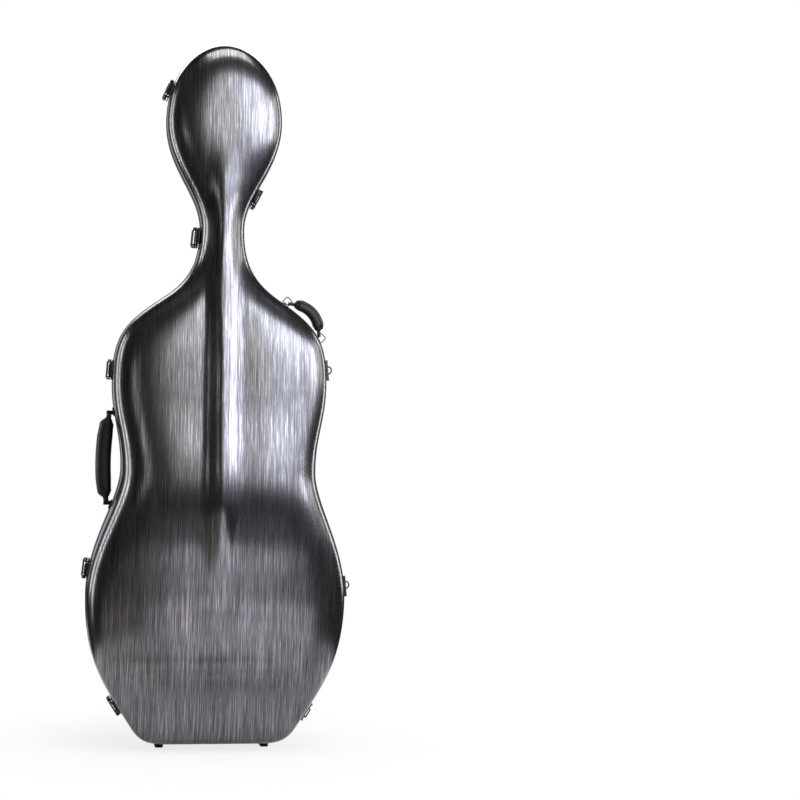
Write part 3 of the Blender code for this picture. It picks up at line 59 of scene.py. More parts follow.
def hexColour(code):
    parts = [int(code[spot:spot + 2], 16) / 255 for spot in (1, 3, 5)]
    return tuple(p / 12.92 if p <= 0.04045 else ((p + 0.055) / 1.055) ** 2.4 for p in parts) + (1.0,)


def addNode(tree, kind, inputs=None, stops=(), **settings):
    # a shader node with its inputs, its settings and, on a colour ramp, its stops
    # an input is a fixed value, a socket or another node, which stands for that node's first output
    node = tree.nodes.new("ShaderNode" + kind)
    for key, value in settings.items():
        setattr(node, key, value)
    for key, value in (inputs or {}).items():
        if isinstance(value, bpy.types.Node):
            value = value.outputs[0]
        if isinstance(value, bpy.types.NodeSocket):
            tree.links.new(value, node.inputs[key])
        else:
            node.inputs[key].default_value = value
    for index, (place, colour) in enumerate(stops):
        if index == len(node.color_ramp.elements):
            node.color_ramp.elements.new(place)
        node.color_ramp.elements[index].position = place
        node.color_ramp.elements[index].color = hexColour(colour)
    return node


def newFinish(name, slotName=None):
    # an empty material, and the record's material slot for the pieces that have it
    finish = bpy.data.materials.new(name)
    finish.use_nodes = True
    finish.node_tree.nodes.clear()
    if slotName:
        slotOfFinish[name] = slotName
    return finish, finish.node_tree


def scaledCoords(tree, size):
    # object coordinates divided by a real size in metres
    coords = addNode(tree, "TexCoord")
    return addNode(tree, "Mapping", {"Vector": coords.outputs["Object"], "Scale": (1 / size,) * 3})


def closeShader(tree, shader, height, depth, strength):
    # the surface's fine relief and the way out
    bump = addNode(tree, "Bump", {"Height": height, "Distance": depth, "Strength": strength})
    tree.links.new(bump.outputs["Normal"], shader.inputs["Normal"])
    addNode(tree, "OutputMaterial", {"Surface": shader})


def newMesh(name, bm):
    mesh = bpy.data.meshes.new(name)
    bm.to_mesh(mesh)
    bm.free()
    return mesh


def newObject(name, data):
    obj = bpy.data.objects.new(name, data)
    bpy.context.scene.collection.objects.link(obj)
    return obj


def keepPiece(name, bm, finish, body, smooth=50):
    # a new piece that rides on its body, smooth over edges that turn less than these degrees
    mesh = newMesh(name, bm)
    obj = newObject(name, mesh)
    mesh.materials.append(finish)
    mesh.shade_smooth()
    mesh.set_sharp_from_angle(angle=math.radians(smooth))
    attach(obj, body)
    return obj


def addRounding(obj, width, segments, degrees):
    # rounds the edges that turn more than these degrees
    rounding = obj.modifiers.new("rounding", "BEVEL")
    rounding.width = width * mm
    rounding.segments = segments
    rounding.limit_method = "ANGLE"
    rounding.angle_limit = math.radians(degrees)


def addWall(obj, thickness, offset=-1):
    wall = obj.modifiers.new("wall", "SOLIDIFY")
    wall.thickness = thickness * mm
    wall.offset = offset


def arcPoints(x, y, radius, start, end, steps):
    # points of an arc about (x, y), with its angles in degrees
    angles = [math.radians(start + (end - start) * step / steps) for step in range(steps + 1)]
    return [(x + radius * math.cos(angle), y + radius * math.sin(angle)) for angle in angles]


def oblongPoint(angle, fullness):
    # a point of a soft-cornered oblong that reaches 1 each way
    c, s = math.cos(angle), math.sin(angle)
    size = (abs(c) ** fullness + abs(s) ** fullness) ** (-1 / fullness)
    return c * size, s * size


def gridForm(columns, rows, place, weld=weldGap):
    # a grid whose points are moved to place(u, v), with its edges welded where they meet
    bm = bmesh.new()
    bmesh.ops.create_grid(bm, x_segments=columns, y_segments=rows, size=1)
    for vert in bm.verts:
        vert.co = place((vert.co.x + 1) / 2, (vert.co.y + 1) / 2)
    bmesh.ops.remove_doubles(bm, verts=bm.verts, dist=weld)
    bmesh.ops.dissolve_degenerate(bm, edges=bm.edges, dist=weld)
    bmesh.ops.recalc_face_normals(bm, faces=bm.faces)
    return bm


def frameAt(spot, out, up):
    # a place there whose local X is out and Z is up
    return Matrix.Translation(spot) @ Matrix((out, up.cross(out), up)).transposed().to_4x4()


def nodePoints(name):
    return [vert.co for vert in frame["nodes"][name].data.vertices]


def shifted(x, y, z):
    # a place moved by millimetres
    return Matrix.Translation(Vector((x, y, z)) * mm)


# finishes

filmLook = {
    "shades": [(0.34, "#29282a"), (0.50, "#636264"), (0.66, "#aba9ab")],
    # width, length, detail and waviness of the upright lines in the printed film
    "streak": (1.7 * mm, 112 * mm, 3, 0.15), "hair": (0.9 * mm, 38 * mm, 2, 0.1),
    "band": (24 * mm, 400 * mm, 1, 0), "grit": 0.6,
    "hairShare": 0.42, "bandShare": 0.12, "sideFrom": 0.72, "sideFull": 0.92, "sideApart": 3.0,
    "metallic": 0.94, "roughness": 0.245, "roughSpread": 0.06, "roughFrom": (0.35, 0.65),
    "coat": 0.5, "coatRoughness": 0.15, "lineDepth": 0.05 * mm, "lineStrength": 0.6,
}


def brushedPolycarbonate():
    # polycarbonate sheet with a brushed metal film under a clear face, vacuum formed
    # gives soft metallic glints broken into upright streaks, under a faint glossy skin
    look = filmLook
    finish, tree = newFinish("polycarbonate_brushed_film", "brushed_polycarbonate")
    coords = addNode(tree, "TexCoord")
    split = addNode(tree, "SeparateXYZ", {"Vector": coords.outputs["Object"]})
    facing = addNode(tree, "NewGeometry")
    facingSplit = addNode(tree, "SeparateXYZ", {"Vector": facing.outputs["Normal"]})
    sideways = addNode(tree, "Math", {0: facingSplit.outputs["X"]}, operation="ABSOLUTE")
    onSide = addNode(tree, "MapRange", {
        "Value": sideways, "From Min": look["sideFrom"], "From Max": look["sideFull"],
    }, interpolation_type="SMOOTHSTEP")
    frontPlace = addNode(tree, "CombineXYZ", {"X": split.outputs["X"], "Z": split.outputs["Z"]})
    sidePlace = addNode(tree, "CombineXYZ", {
        "X": split.outputs["Y"], "Y": look["sideApart"], "Z": split.outputs["Z"]})

    def mixed(share, first, second):
        return addNode(tree, "Mix", {0: share, 2: first, 3: second}, data_type="FLOAT")

    def lines(width, length, detail, waviness):
        made = []
        for place in (frontPlace, sidePlace):
            mapped = addNode(tree, "Mapping", {"Vector": place, "Scale": (1 / width, 1, 1 / length)})
            made.append(addNode(tree, "TexNoise", {
                "Vector": mapped, "Scale": 1.0, "Detail": detail, "Roughness": look["grit"],
                "Distortion": waviness}))
        return mixed(onSide, made[0], made[1])

    streaks = mixed(look["hairShare"], lines(*look["streak"]), lines(*look["hair"]))
    whole = mixed(look["bandShare"], streaks, lines(*look["band"]))
    colour = addNode(tree, "ValToRGB", {"Fac": whole}, look["shades"])
    low, high = look["roughFrom"]
    rough = addNode(tree, "MapRange", {
        "Value": whole, "From Min": low, "From Max": high, "To Min": look["roughness"] + look["roughSpread"],
        "To Max": look["roughness"] - look["roughSpread"]})
    shader = addNode(tree, "BsdfPrincipled", {
        "Base Color": colour, "Metallic": look["metallic"], "Roughness": rough,
        "Coat Weight": look["coat"], "Coat Roughness": look["coatRoughness"]})
    closeShader(tree, shader, streaks, look["lineDepth"], look["lineStrength"])
    return finish


def speckledFinish(name, slotName, look):
    # two shades that follow one fine noise, which also gives the relief and, with a spread, the gloss
    finish, tree = newFinish(name, slotName)
    speckle = addNode(tree, "TexNoise", {
        "Vector": scaledCoords(tree, look["grain"]), "Scale": 1.0, "Detail": look["detail"]})
    colour = addNode(tree, "ValToRGB", {"Fac": speckle}, look["shades"])
    rough = look["roughness"]
    if "roughSpread" in look:
        less, more = look["roughSpread"]
        rough = addNode(tree, "MapRange", {"Value": speckle, "To Min": rough - less, "To Max": rough + more})
    shader = addNode(tree, "BsdfPrincipled", {
        "Base Color": colour, "Roughness": rough, **look.get("clear", {})})
    closeShader(tree, shader, speckle, look["depth"], look["strength"])
    return finish


# steel stampings and wire in black powder coat: even satin black with a very fine orange peel
coatLook = {"shades": [(0.35, "#151517"), (0.75, "#202022")], "roughness": 0.40, "roughSpread": (0.05, 0.08),
            "grain": 0.5 * mm, "detail": 2, "depth": 0.02 * mm, "strength": 0.5}
# moulded synthetic rubber: matt black with a faint dusty bloom
rubberLook = {"shades": [(0.4, "#141415"), (0.75, "#222223")], "roughness": 0.62,
              "grain": 0.9 * mm, "detail": 4, "depth": 0.03 * mm, "strength": 0.6}
# cast urethane wheel: clear with a slight milky cloud
urethaneLook = {"shades": [(0.3, "#cfd4d6"), (0.8, "#dfe3e4")], "roughness": 0.16,
                "roughSpread": (0.06, 0.10), "clear": {"IOR": 1.5, "Transmission Weight": 0.72},
                "grain": 9 * mm, "detail": 3, "depth": 0.05 * mm, "strength": 0.3}
# waxed polyester thread: dull, and painted paler than the leather: the paleness is a painted highlight for the
# light the stitches catch
paleThreadHighlightLook = {"shades": [(0.35, "#3a3836"), (0.7, "#5c5955")], "roughness": 0.6,
              "grain": 0.4 * mm, "detail": 1, "depth": 0.05 * mm, "strength": 0.5}
# injection moulded nylon core: mid grey with a soft sheen
nylonLook = {"shades": [(0.35, "#7b7e80"), (0.7, "#8d9092")], "roughness": 0.38,
             "grain": 1.2 * mm, "detail": 3, "depth": 0.02 * mm, "strength": 0.5}

leatherLook = {"shades": [(0.25, "#161414"), (0.95, "#2b2827")], "roughness": 0.42,
               "roughSpread": (0.08, 0.14), "pebble": 1.3 * mm, "groove": 0.22,
               "softScale": 0.6, "softShare": 0.35, "depth": 0.12 * mm, "strength": 0.7}


def grainedLeather():
    # corrected-grain leather over foam: small pebbles with half gloss, paler on their tops
    look = leatherLook
    finish, tree = newFinish("leather_grained_black", "black_leather")
    place = scaledCoords(tree, look["pebble"])
    cells = addNode(tree, "TexVoronoi", {"Vector": place, "Scale": 1.0}, feature="DISTANCE_TO_EDGE")
    soft = addNode(tree, "TexNoise", {"Vector": place, "Scale": look["softScale"], "Detail": 4})
    pebbles = addNode(tree, "MapRange", {
        "Value": cells, "From Max": look["groove"]}, interpolation_type="SMOOTHSTEP")
    relief = addNode(tree, "Mix", {0: look["softShare"], 2: pebbles, 3: soft}, data_type="FLOAT")
    colour = addNode(tree, "ValToRGB", {"Fac": relief}, look["shades"])
    less, more = look["roughSpread"]
    rough = addNode(tree, "MapRange", {
        "Value": soft, "To Min": look["roughness"] - less, "To Max": look["roughness"] + more})
    shader = addNode(tree, "BsdfPrincipled", {"Base Color": colour, "Roughness": rough})
    closeShader(tree, shader, relief, look["depth"], look["strength"])
    return finish


plushLook = {"shades": [(0.3, "#24252a"), (0.7, "#4a4b53")], "roughness": 0.9, "sheen": 0.6,
             "sheenRoughness": 0.4, "pile": 1.6 * mm, "patch": 40 * mm, "patchShare": 0.4,
             "depth": 0.5 * mm, "strength": 0.8}


def linedPlush():
    # short pile plush glued over foam: deep grey with lighter tips that lie in soft patches
    look = plushLook
    finish, tree = newFinish("plush_short_pile_grey", "dark_plush")
    pile = addNode(tree, "TexNoise", {
        "Vector": scaledCoords(tree, look["pile"]), "Scale": 1.0, "Detail": 5, "Roughness": 0.7})
    patch = addNode(tree, "TexNoise", {
        "Vector": scaledCoords(tree, look["patch"]), "Scale": 1.0, "Detail": 2})
    tips = addNode(tree, "Mix", {0: look["patchShare"], 2: pile, 3: patch}, data_type="FLOAT")
    colour = addNode(tree, "ValToRGB", {"Fac": tips}, look["shades"])
    shader = addNode(tree, "BsdfPrincipled", {
        "Base Color": colour, "Roughness": look["roughness"],
        "Sheen Weight": look["sheen"], "Sheen Roughness": look["sheenRoughness"]})
    closeShader(tree, shader, pile, look["depth"], look["strength"])
    return finish


film = brushedPolycarbonate()
coat = speckledFinish("steel_black_powder_coat", "black_coated_steel", coatLook)
rubber = speckledFinish("rubber_moulded_black", "black_rubber", rubberLook)
leather = grainedLeather()
plush = linedPlush()
urethane = speckledFinish("urethane_cast_clear", "clear_urethane", urethaneLook)
mainFinishes = (film, coat, rubber, leather, plush, urethane)
finishOfSlot = {slotOfFinish[finish.name]: finish for finish in mainFinishes}
# the thread's paler shades are painted highlight over its own dark grey
thread = speckledFinish("thread_waxed_polyester_painted_highlight", "black_leather", paleThreadHighlightLook)
nylon = speckledFinish("nylon_moulded_grey", "clear_urethane", nylonLook)
print("finishes made:", len(slotOfFinish))

# the solids as they come: hard ones get small rounded edges, of this width, segments and angle
cadLook = {"edge": (0.35, 2, 40), "smooth": 50, "edged": ("black_coated_steel", "black_rubber")}
for part in frame["record"]["subparts"]:
    node = frame["nodes"][part["node"]]
    node.data.materials.clear()
    node.data.materials.append(finishOfSlot[part["material_slot"]])
    weld = node.modifiers.new("weld", "WELD")
    weld.merge_threshold = weldGap / 2
    if part["material_slot"] in cadLook["edged"]:
        addRounding(node, *cadLook["edge"])
        flat = node.modifiers.new("flat_faces", "WEIGHTED_NORMAL")
        flat.keep_sharp = True
    node.data.shade_smooth()
    node.data.set_sharp_from_angle(angle=math.radians(cadLook["smooth"]))


# the case's form, in millimetres
# ribs go round one half of the outline: x, z, heading in degrees, the curve's pull before and after
# as shares of the way to the neighbours, height on the middle line, base depth, and how full
# the sections of the base and of the lid are
# the lid's line goes up its middle: height, depth, share of the ridge

caseShape = {
    "ribs": [
        (0, 12.5, 0, 0, 0.333, 142.5, 159, 4.4, 4.4),
        (90, 12.5, 0, 0.333, 0.531, 142.5, 159, 4.4, 4.4),
        (158, 45, 57, 0.372, 0.383, 172, 161, 4.4, 4.4),
        (245.2, 291, 90, 0.441, 0.400, 311, 165, 4.2, 4.4),
        (183, 533, 90, 0.248, 0.412, 530, 165, 3.8, 4.5),
        (202.5, 697, 90, 0.388, 0.456, 665, 161, 4.0, 4.5),
        (110, 858.7, 146, 0.494, 0.398, 790, 125, 3.4, 3.8),
        (41.5, 993, 90, 0.438, 0.305, 985, 72, 3.0, 2.8),
        (109.5, 1195, 90, 0.413, 0.519, 1185, 100, 2.8, 3.4),
        (0, 1341.5, 180, 0.273, 0, 1205, 100, 2.8, 3.4),
    ],
    "lidLine": [
        (12.5, 69, 0), (80, 72.5, 0), (142.5, 77, 0), (172, 79.8, 0), (275, 91, 0), (340, 99.3, 0.08),
        (410, 108.5, 0.5), (480, 113, 1), (665, 91, 1),
        (790, 77, 1), (985, 50, 0.9), (1100, 57, 0.3), (1185, 62, 0), (1205, 62, 0),
    ],
    "ridgeHeight": 12.5, "ridgeHalfWidth": 37, "middleEase": 0.06, "ownHeight": (200, 340),
    "seamHalf": 0.15, "trimThickness": 4.7, "clearance": 0.3,
    "wall": 3.0, "columns": 54, "rows": 234, "crowding": 2.2,
}
lastRib = len(caseShape["ribs"]) - 1
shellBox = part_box("base_shell")
shellEdge = (caseShape["seamHalf"] + caseShape["trimThickness"] + caseShape["clearance"]) * mm
caseShift = Vector(((shellBox[0].x + shellBox[1].x) / 2, shellBox[0].y - shellEdge, 0))


def smoothValue(values, index, part):
    # the value at this share between two stations, on a curve that never overshoots
    picks = [values[min(max(index + step, 0), len(values) - 1)] for step in (-1, 0, 1, 2)]
    rises = [after - before for before, after in zip(picks, picks[1:])]
    slopes = [2 * a * b / (a + b) if a * b > 0 else 0 for a, b in zip(rises, rises[1:])]
    cube, square = part ** 3, part ** 2
    return ((2 * cube - 3 * square + 1) * picks[1] + (cube - 2 * square + part) * slopes[0]
            + (3 * square - 2 * cube) * picks[2] + (cube - square) * slopes[1])


def ribValue(column, t):
    index = min(int(t), lastRib - 1)
    return smoothValue([rib[column] for rib in caseShape["ribs"]], index, t - index)


def lidValue(column, height):
    line = caseShape["lidLine"]
    index = max(spot for spot in range(len(line) - 1) if spot == 0 or line[spot][0] <= height)
    return smoothValue([station[column] for station in line], index,
                       (height - line[index][0]) / (line[index + 1][0] - line[index][0]))


def outlinePoint(t):
    index = min(int(t), lastRib - 1)
    part = t - index
    first, second = caseShape["ribs"][index], caseShape["ribs"][index + 1]
    start, end = Vector(first[:2]), Vector(second[:2])
    leave, arrive = math.radians(first[2]), math.radians(second[2])
    span = (end - start).length
    near = start + Vector((math.cos(leave), math.sin(leave))) * first[4] * span
    far = end - Vector((math.cos(arrive), math.sin(arrive))) * second[3] * span
    rest = 1 - part
    return start * rest ** 3 + near * 3 * rest ** 2 * part + far * 3 * rest * part ** 2 + end * part ** 3


def shellPoint(t, share, side, setback=0.0):
    # share 0 is at the edge and 1 at the middle line; side 1 is the base and -1 the lid
    rim = outlinePoint(t)
    middleHeight = ribValue(5, t)
    rest = 1 - share
    x = rim.x * rest
    z = middleHeight + (rim.y - middleHeight) * rest * (1 - math.exp(-rest / caseShape["middleEase"]))
    fullness = ribValue(7 if side > 0 else 8, t)
    swell = (1 - (1 - share) ** fullness) ** (1 / fullness)
    edge = shellEdge / mm + setback
    if side > 0:
        depth = ribValue(6, t)
    else:       # near the bottom the lid's depth goes with the point's own height
        low, high = caseShape["ownHeight"]
        part = min(1, max(0, (middleHeight - low) / (high - low)))
        depth = lidValue(1, z + (middleHeight - z) * part * part * (3 - 2 * part))
    y = edge + (depth - edge) * swell
    if side < 0 and setback == 0:
        ridge = caseShape["ridgeHeight"] * lidValue(2, middleHeight)
        away = min(1, abs(x) / caseShape["ridgeHalfWidth"])
        y += ridge * swell ** 2 * (1 + math.cos(math.pi * away)) / 2
    return Vector((x, side * y, z)) * mm


def facesOut(bm, side):
    # turns the faces to the back on the base, and to the front on the lid
    if sum(face.normal.y * face.calc_area() for face in bm.faces) * side < 0:
        bmesh.ops.reverse_faces(bm, faces=bm.faces)


def mouldedForm(side, columns, rows, setback=0.0):
    # half of a shell, mirrored and welded on the middle plane, then moved to where the case stands
    def spot(u, v):
        return shellPoint(v * lastRib, u ** caseShape["crowding"], side, setback)

    bm = gridForm(columns, rows, spot)
    facesOut(bm, side)
    for vert in bm.verts:
        if abs(vert.co.x) < weldGap / 2:
            vert.co.x = 0
    bmesh.ops.mirror(bm, geom=bm.verts[:] + bm.edges[:] + bm.faces[:], axis="X", merge_dist=weldGap)
    bmesh.ops.remove_doubles(bm, verts=bm.verts, dist=weldGap)
    bmesh.ops.translate(bm, verts=bm.verts, vec=caseShift)
    bmesh.ops.recalc_face_normals(bm, faces=bm.faces)
    facesOut(bm, side)
    return bm


halves = (("base", 1), ("lid", -1))
for body, side in halves:
    shell = keepPiece(f"{body}_shell_moulding", mouldedForm(side, caseShape["columns"], caseShape["rows"]),
                      film, body, smooth=70)
    addWall(shell, caseShape["wall"])
    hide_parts(f"{body}_shell")
print("shells moulded")

liningShape = {"setback": 2.6, "behindFace": 5.2, "padding": 10, "columns": 30, "rows": 180}
look = liningShape
liningPads = {}
for body, side in halves:
    pad = keepPiece(f"{body}_lining_pad", mouldedForm(side, look["columns"], look["rows"], look["setback"]),
                    plush, body, smooth=70)
    inset = pad.modifiers.new("inside_the_shell", "DISPLACE")
    inset.strength = -look["behindFace"] * mm
    inset.mid_level = 0
    addWall(pad, look["padding"])
    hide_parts(f"{body}_lining")
    liningPads[body] = pad
print("linings made")


# edge trims with the latch catches

trimShape = {
    "steps": 720, "runStep": 0.0006, "proud": 0.8, "inset": 9.0, "round": 1.0,
    "catchHalf": 13, "catchCrest": 6.2, "catchReach": 9.4, "catchEnd": 21, "catchFoot": -4,
    "plate": 2.2, "catchRound": 0.35,
    "pivotOut": 6.6, "pivotBack": 11,      # where a lever turns, from the latch's own place
}


def edgeAt(share):
    # a point of the whole outline and the way out from it, once round for share 0 to 1
    def spot(value):
        value = value % 1.0
        right = value <= 0.5
        point = outlinePoint((value if right else 1 - value) * 2 * lastRib)
        return point if right else Vector((-point.x, point.y))

    step = trimShape["runStep"]
    run = (spot(share + step) - spot(share - step)).normalized()
    return spot(share), Vector((run.y, -run.x))


def roundedStrip(low, high, bottom, top, radius, steps=4):
    # a closed section in (out, thick) with rounded outer corners
    points = [(low, bottom)]
    for level, start in ((bottom + radius, -90), (top - radius, 0)):
        points += arcPoints(high - radius, level, radius, start, start + 90, steps)
    return points + [(low, top)]


def trimForm(side):
    look = trimShape
    section = roundedStrip(-look["inset"], look["proud"], caseShape["seamHalf"],
                           caseShape["seamHalf"] + caseShape["trimThickness"], look["round"])
    count = len(section)
    edges = [edgeAt(step / look["steps"]) for step in range(look["steps"])]

    def place(u, v):
        point, out = edges[round(v * look["steps"]) % look["steps"]]
        offset, thick = section[round(u * count) % count]
        moved = point + out * offset
        return Vector((moved.x, side * thick, moved.y)) * mm

    bm = gridForm(count, look["steps"], place)
    bmesh.ops.translate(bm, verts=bm.verts, vec=caseShift)
    return bm


def jointFrame(name, flip=1):
    # local Z along the joint, X out of the case's side and Y to the back
    joint = jointsByName[name]
    axis = Vector(joint["axis"]).normalized() * flip
    return frameAt(joint["pos_m"], Vector((axis.z, 0, -axis.x)).normalized(), axis)


def latchPlace(latch):
    # X out, Y back and Z up at the edge, where a latch stands
    look = trimShape
    return jointFrame(f"lever_{latch}_pivot", flip=-1) @ shifted(-look["pivotOut"], -look["pivotBack"], 0)


def catchForm(place):
    # a catch's section, drawn out along the edge, with its corners rounded
    look = trimShape
    foot, plate, reach, crest = look["catchFoot"], look["plate"], -look["catchReach"], look["catchCrest"]
    section = [(foot, -1.0), (foot, -4.2), (0, -4.3), (0, -look["catchEnd"]), (plate, -look["catchEnd"]),
               (plate, reach + 0.6), (crest, reach + 2.2), (crest, reach + 4.0), (plate, -4.3), (plate, -1.0)]
    half = look["catchHalf"] * mm
    bm = bmesh.new()
    face = bm.faces.new([bm.verts.new((x * mm, y * mm, -half)) for x, y in section])
    drawn = bmesh.ops.extrude_face_region(bm, geom=[face])
    moved = [item for item in drawn["geom"] if isinstance(item, bmesh.types.BMVert)]
    bmesh.ops.translate(bm, verts=moved, vec=(0, 0, 2 * half))
    bmesh.ops.bevel(bm, geom=bm.edges[:], offset=look["catchRound"] * mm, affect="EDGES", segments=2,
                    profile=0.5, material=-1)
    bmesh.ops.transform(bm, matrix=place, verts=bm.verts)
    bmesh.ops.recalc_face_normals(bm, faces=bm.faces)
    return bm


def joinForms(forms):
    # several forms as one mesh
    whole = bmesh.new()
    for form in forms:
        mesh = newMesh("form", form)
        whole.from_mesh(mesh)
        bpy.data.meshes.remove(mesh)
    return whole


latches = [name[len("latch_lever_"):] for name in frame["nodes"] if name.startswith("latch_lever_")]
for body, side in halves:
    seal = keepPiece(f"{body}_edge_seal", trimForm(side), rubber, body)
    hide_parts(f"{body}_edge_trim")
catches = [catchForm(latchPlace(latch)) for latch in latches]
lidCatches = keepPiece("lid_latch_catches", joinForms(catches), coat, "lid")
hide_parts("lid_edge_trim")
print("trims and catches made:", len(catches))


# grips: half sizes at the middle, the arch's rise and where its ends lie, and the grip's scale along its half

carryLook = {
    "body": "carry_handle", "halfThick": 13.5, "halfWide": 16, "rise": 7, "tip": 0,
    "scales": lambda reach: [(0, 1.0), (36, 1.0), (63.4, 0.90), (72, 0.62), (76, 0.38), (reach, 0.36)],
    "stripEnd": lambda reach: 71, "stripAngle": 62, "stripThick": 1.5,
}
shoulderLook = {
    "body": "shoulder_handle", "halfThick": 9.5, "halfWide": 13, "rise": 21, "tip": 5.2,
    "scales": lambda reach: [(0, 1.0), ((reach - 3.4) * 0.60, 1.0), (reach - 12.4, 0.75), (reach - 9.4, 0.36),
                             (reach, 0.34)],
    "stripEnd": lambda reach: reach - 11.9, "stripAngle": 60, "stripThick": 1.2,
}
gripSection = {"fullness": 2.6, "narrow": 0.22, "flatEnd": 0.01, "around": 40, "rows": 120}
layerLook = {"columns": 26, "rows": 70, "low": 0.15, "rise": 0.9, "edge": 0.10, "endSlope": 4,
             "rounding": (0.4, 2, 50)}
stitchLook = {"pitch": 4.4, "length": 3.0, "radius": 0.42, "fromEdge": 5, "fromEnd": 3, "proud": 0.75}


def stationValue(stations, along):
    along = abs(along)
    for (low, first), (high, second) in zip(stations, stations[1:]):
        if along <= high:
            part = (along - low) / (high - low)
            part = part * part * (3 - 2 * part)
            return first + (second - first) * part
    return stations[-1][1]


def gripPoint(look, place, angle, along, grow=0.0):
    # a point on a grip: rounded sections on an arched middle line, thick out and wide back
    reach, rise = look["reach"], look["rise"]
    scale = stationValue(look["scales"](reach), along)
    out = look["tip"] + rise * (1 - (along / reach) ** 2)
    run = Vector((-2 * rise * along / reach ** 2, 1)).normalized()
    if abs(along) > reach - gripSection["flatEnd"]:
        run = Vector((0, 1))
    thick, wide = oblongPoint(angle, gripSection["fullness"])
    narrow = gripSection["narrow"]
    thick *= look["halfThick"] * scale + grow
    wide *= look["halfWide"] * (narrow + (1 - narrow) * scale) + grow
    return place @ (Vector((out + run.y * thick, wide, along - run.x * thick)) * mm)


def gripBody(look, place):
    rows, reach = gripSection["rows"], look["reach"]

    def spot(u, v):
        if v < 0.5 / rows or v > 1 - 0.5 / rows:      # ends drawn to their middle
            return place @ (Vector((look["tip"], 0, -reach if v < 0.5 else reach)) * mm)
        return gripPoint(look, place, 2 * math.pi * u, -reach + 2 * reach * (v * rows - 1) / (rows - 2))

    return gridForm(gripSection["around"], rows, spot)


def gripStrip(look, place):
    # the padded outer layer, sewn on over the grip's outer face
    end = look["stripEnd"](look["reach"])
    limit = math.radians(look["stripAngle"])

    def spot(u, v):
        edge = min(u, 1 - u, v * layerLook["endSlope"], (1 - v) * layerLook["endSlope"])
        grow = layerLook["low"] + layerLook["rise"] * min(1, edge / layerLook["edge"])
        return gripPoint(look, place, (2 * u - 1) * limit, end * (2 * v - 1), grow)

    bm = gridForm(layerLook["columns"], layerLook["rows"], spot)
    if sum((face.calc_center_median() - place.translation).dot(face.normal) for face in bm.faces) < 0:
        bmesh.ops.reverse_faces(bm, faces=bm.faces)
    return bm


def gripStitches(look, place):
    # saddle stitches along both edges of the outer layer
    end = look["stripEnd"](look["reach"]) - stitchLook["fromEnd"]
    grow = look["stripThick"] + stitchLook["proud"]
    radius, half = stitchLook["radius"] * mm, stitchLook["length"] / 2 * mm
    count = int(2 * end / stitchLook["pitch"])
    forms = []
    for side in (-1, 1):
        angle = math.radians(look["stripAngle"] - stitchLook["fromEdge"]) * side
        for step in range(count + 1):
            along = end * (2 * step / count - 1)
            centre = gripPoint(look, place, angle, along, grow)
            run = (gripPoint(look, place, angle, along + 1, grow) - centre).normalized()
            bm = bmesh.new()
            bmesh.ops.create_uvsphere(bm, u_segments=8, v_segments=6, radius=1)
            turn = run.to_track_quat("Z", "X").to_matrix().to_4x4()
            size = Matrix.Diagonal((radius, radius, half, 1))
            bmesh.ops.transform(bm, matrix=Matrix.Translation(centre) @ turn @ size, verts=bm.verts)
            forms.append(bm)
    return joinForms(forms)


for look in (carryLook, shoulderLook):
    body = look["body"]
    name = body + "_grip"
    place = jointFrame(body + "_swing")
    look["reach"] = max(abs((place.inverted() @ point).z) for point in nodePoints(name)) / mm
    core = keepPiece(name + "_core", gripBody(look, place), leather, body, smooth=60)
    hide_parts(name)
    layer = keepPiece(name + "_layer", gripStrip(look, place), leather, body, smooth=60)
    addWall(layer, look["stripThick"], offset=1)
    addRounding(layer, *layerLook["rounding"])
    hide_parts(name)
    keepPiece(name + "_stitches", gripStitches(look, place), thread, body, smooth=60)
    print(name, "made, reach", round(look["reach"], 1))


# wire, turned and screwed fittings

def sweepForm(path, radius, closed=False, around=12):
    # round wire along a path of points in millimetres of the world
    count = len(path)
    runs = []
    for index in range(count):
        after = path[(index + 1) % count] if closed or index < count - 1 else path[index]
        before = path[index - 1] if closed or index > 0 else path[index]
        runs.append((after - before).normalized())
    normal = runs[0].orthogonal().normalized()
    rings = []
    for spot, run in zip(path, runs):
        normal = (normal - run * normal.dot(run)).normalized()
        side = run.cross(normal)
        rings.append([(spot + (normal * math.cos(angle) + side * math.sin(angle)) * radius) * mm
                      for angle in (2 * math.pi * step / around for step in range(around))])
    rows = count if closed else count - 1

    def place(u, v):
        return rings[round(v * rows) % count][round(u * around) % around]

    bm = gridForm(around, rows, place, weld=weldGap / 2)
    if not closed:
        bmesh.ops.holes_fill(bm, edges=bm.edges[:], sides=around + 1)
    bmesh.ops.recalc_face_normals(bm, faces=bm.faces)
    return bm


def roundedPath(corners, radius, closed=False, steps=6, share=0.48):
    # the same path with each corner turned into a short curve, over at most this share of its sides
    points = []
    count = len(corners)
    for index, corner in enumerate(corners):
        if not closed and index in (0, count - 1):
            points.append(corner)
            continue
        before, after = corners[index - 1], corners[(index + 1) % count]
        room = min(radius, (before - corner).length * share, (after - corner).length * share)
        near = corner + (before - corner).normalized() * room
        far = corner + (after - corner).normalized() * room
        for step in range(steps + 1):
            part = step / steps
            points.append(near.lerp(corner, part).lerp(corner.lerp(far, part), part))
    return points


def turnedForm(profile, place, around=48):
    # a profile of (along, radius) in millimetres, turned about the place's local X
    rows = len(profile) - 1

    def spot(u, v):
        along, radius = profile[round(v * rows)]
        angle = 2 * math.pi * (u % 1.0)
        return place @ (Vector((along, radius * math.cos(angle), radius * math.sin(angle))) * mm)

    return gridForm(around, rows, spot, weld=weldGap / 4)


# shares of a head's radius or height, how far its foot is sunk, and its mesh
headShape = {"slot": 0.17, "reach": 0.58, "skirt": 1.12, "drop": 0.45, "recess": 0.55, "sink": 0.3,
             "around": 32, "rings": 8}


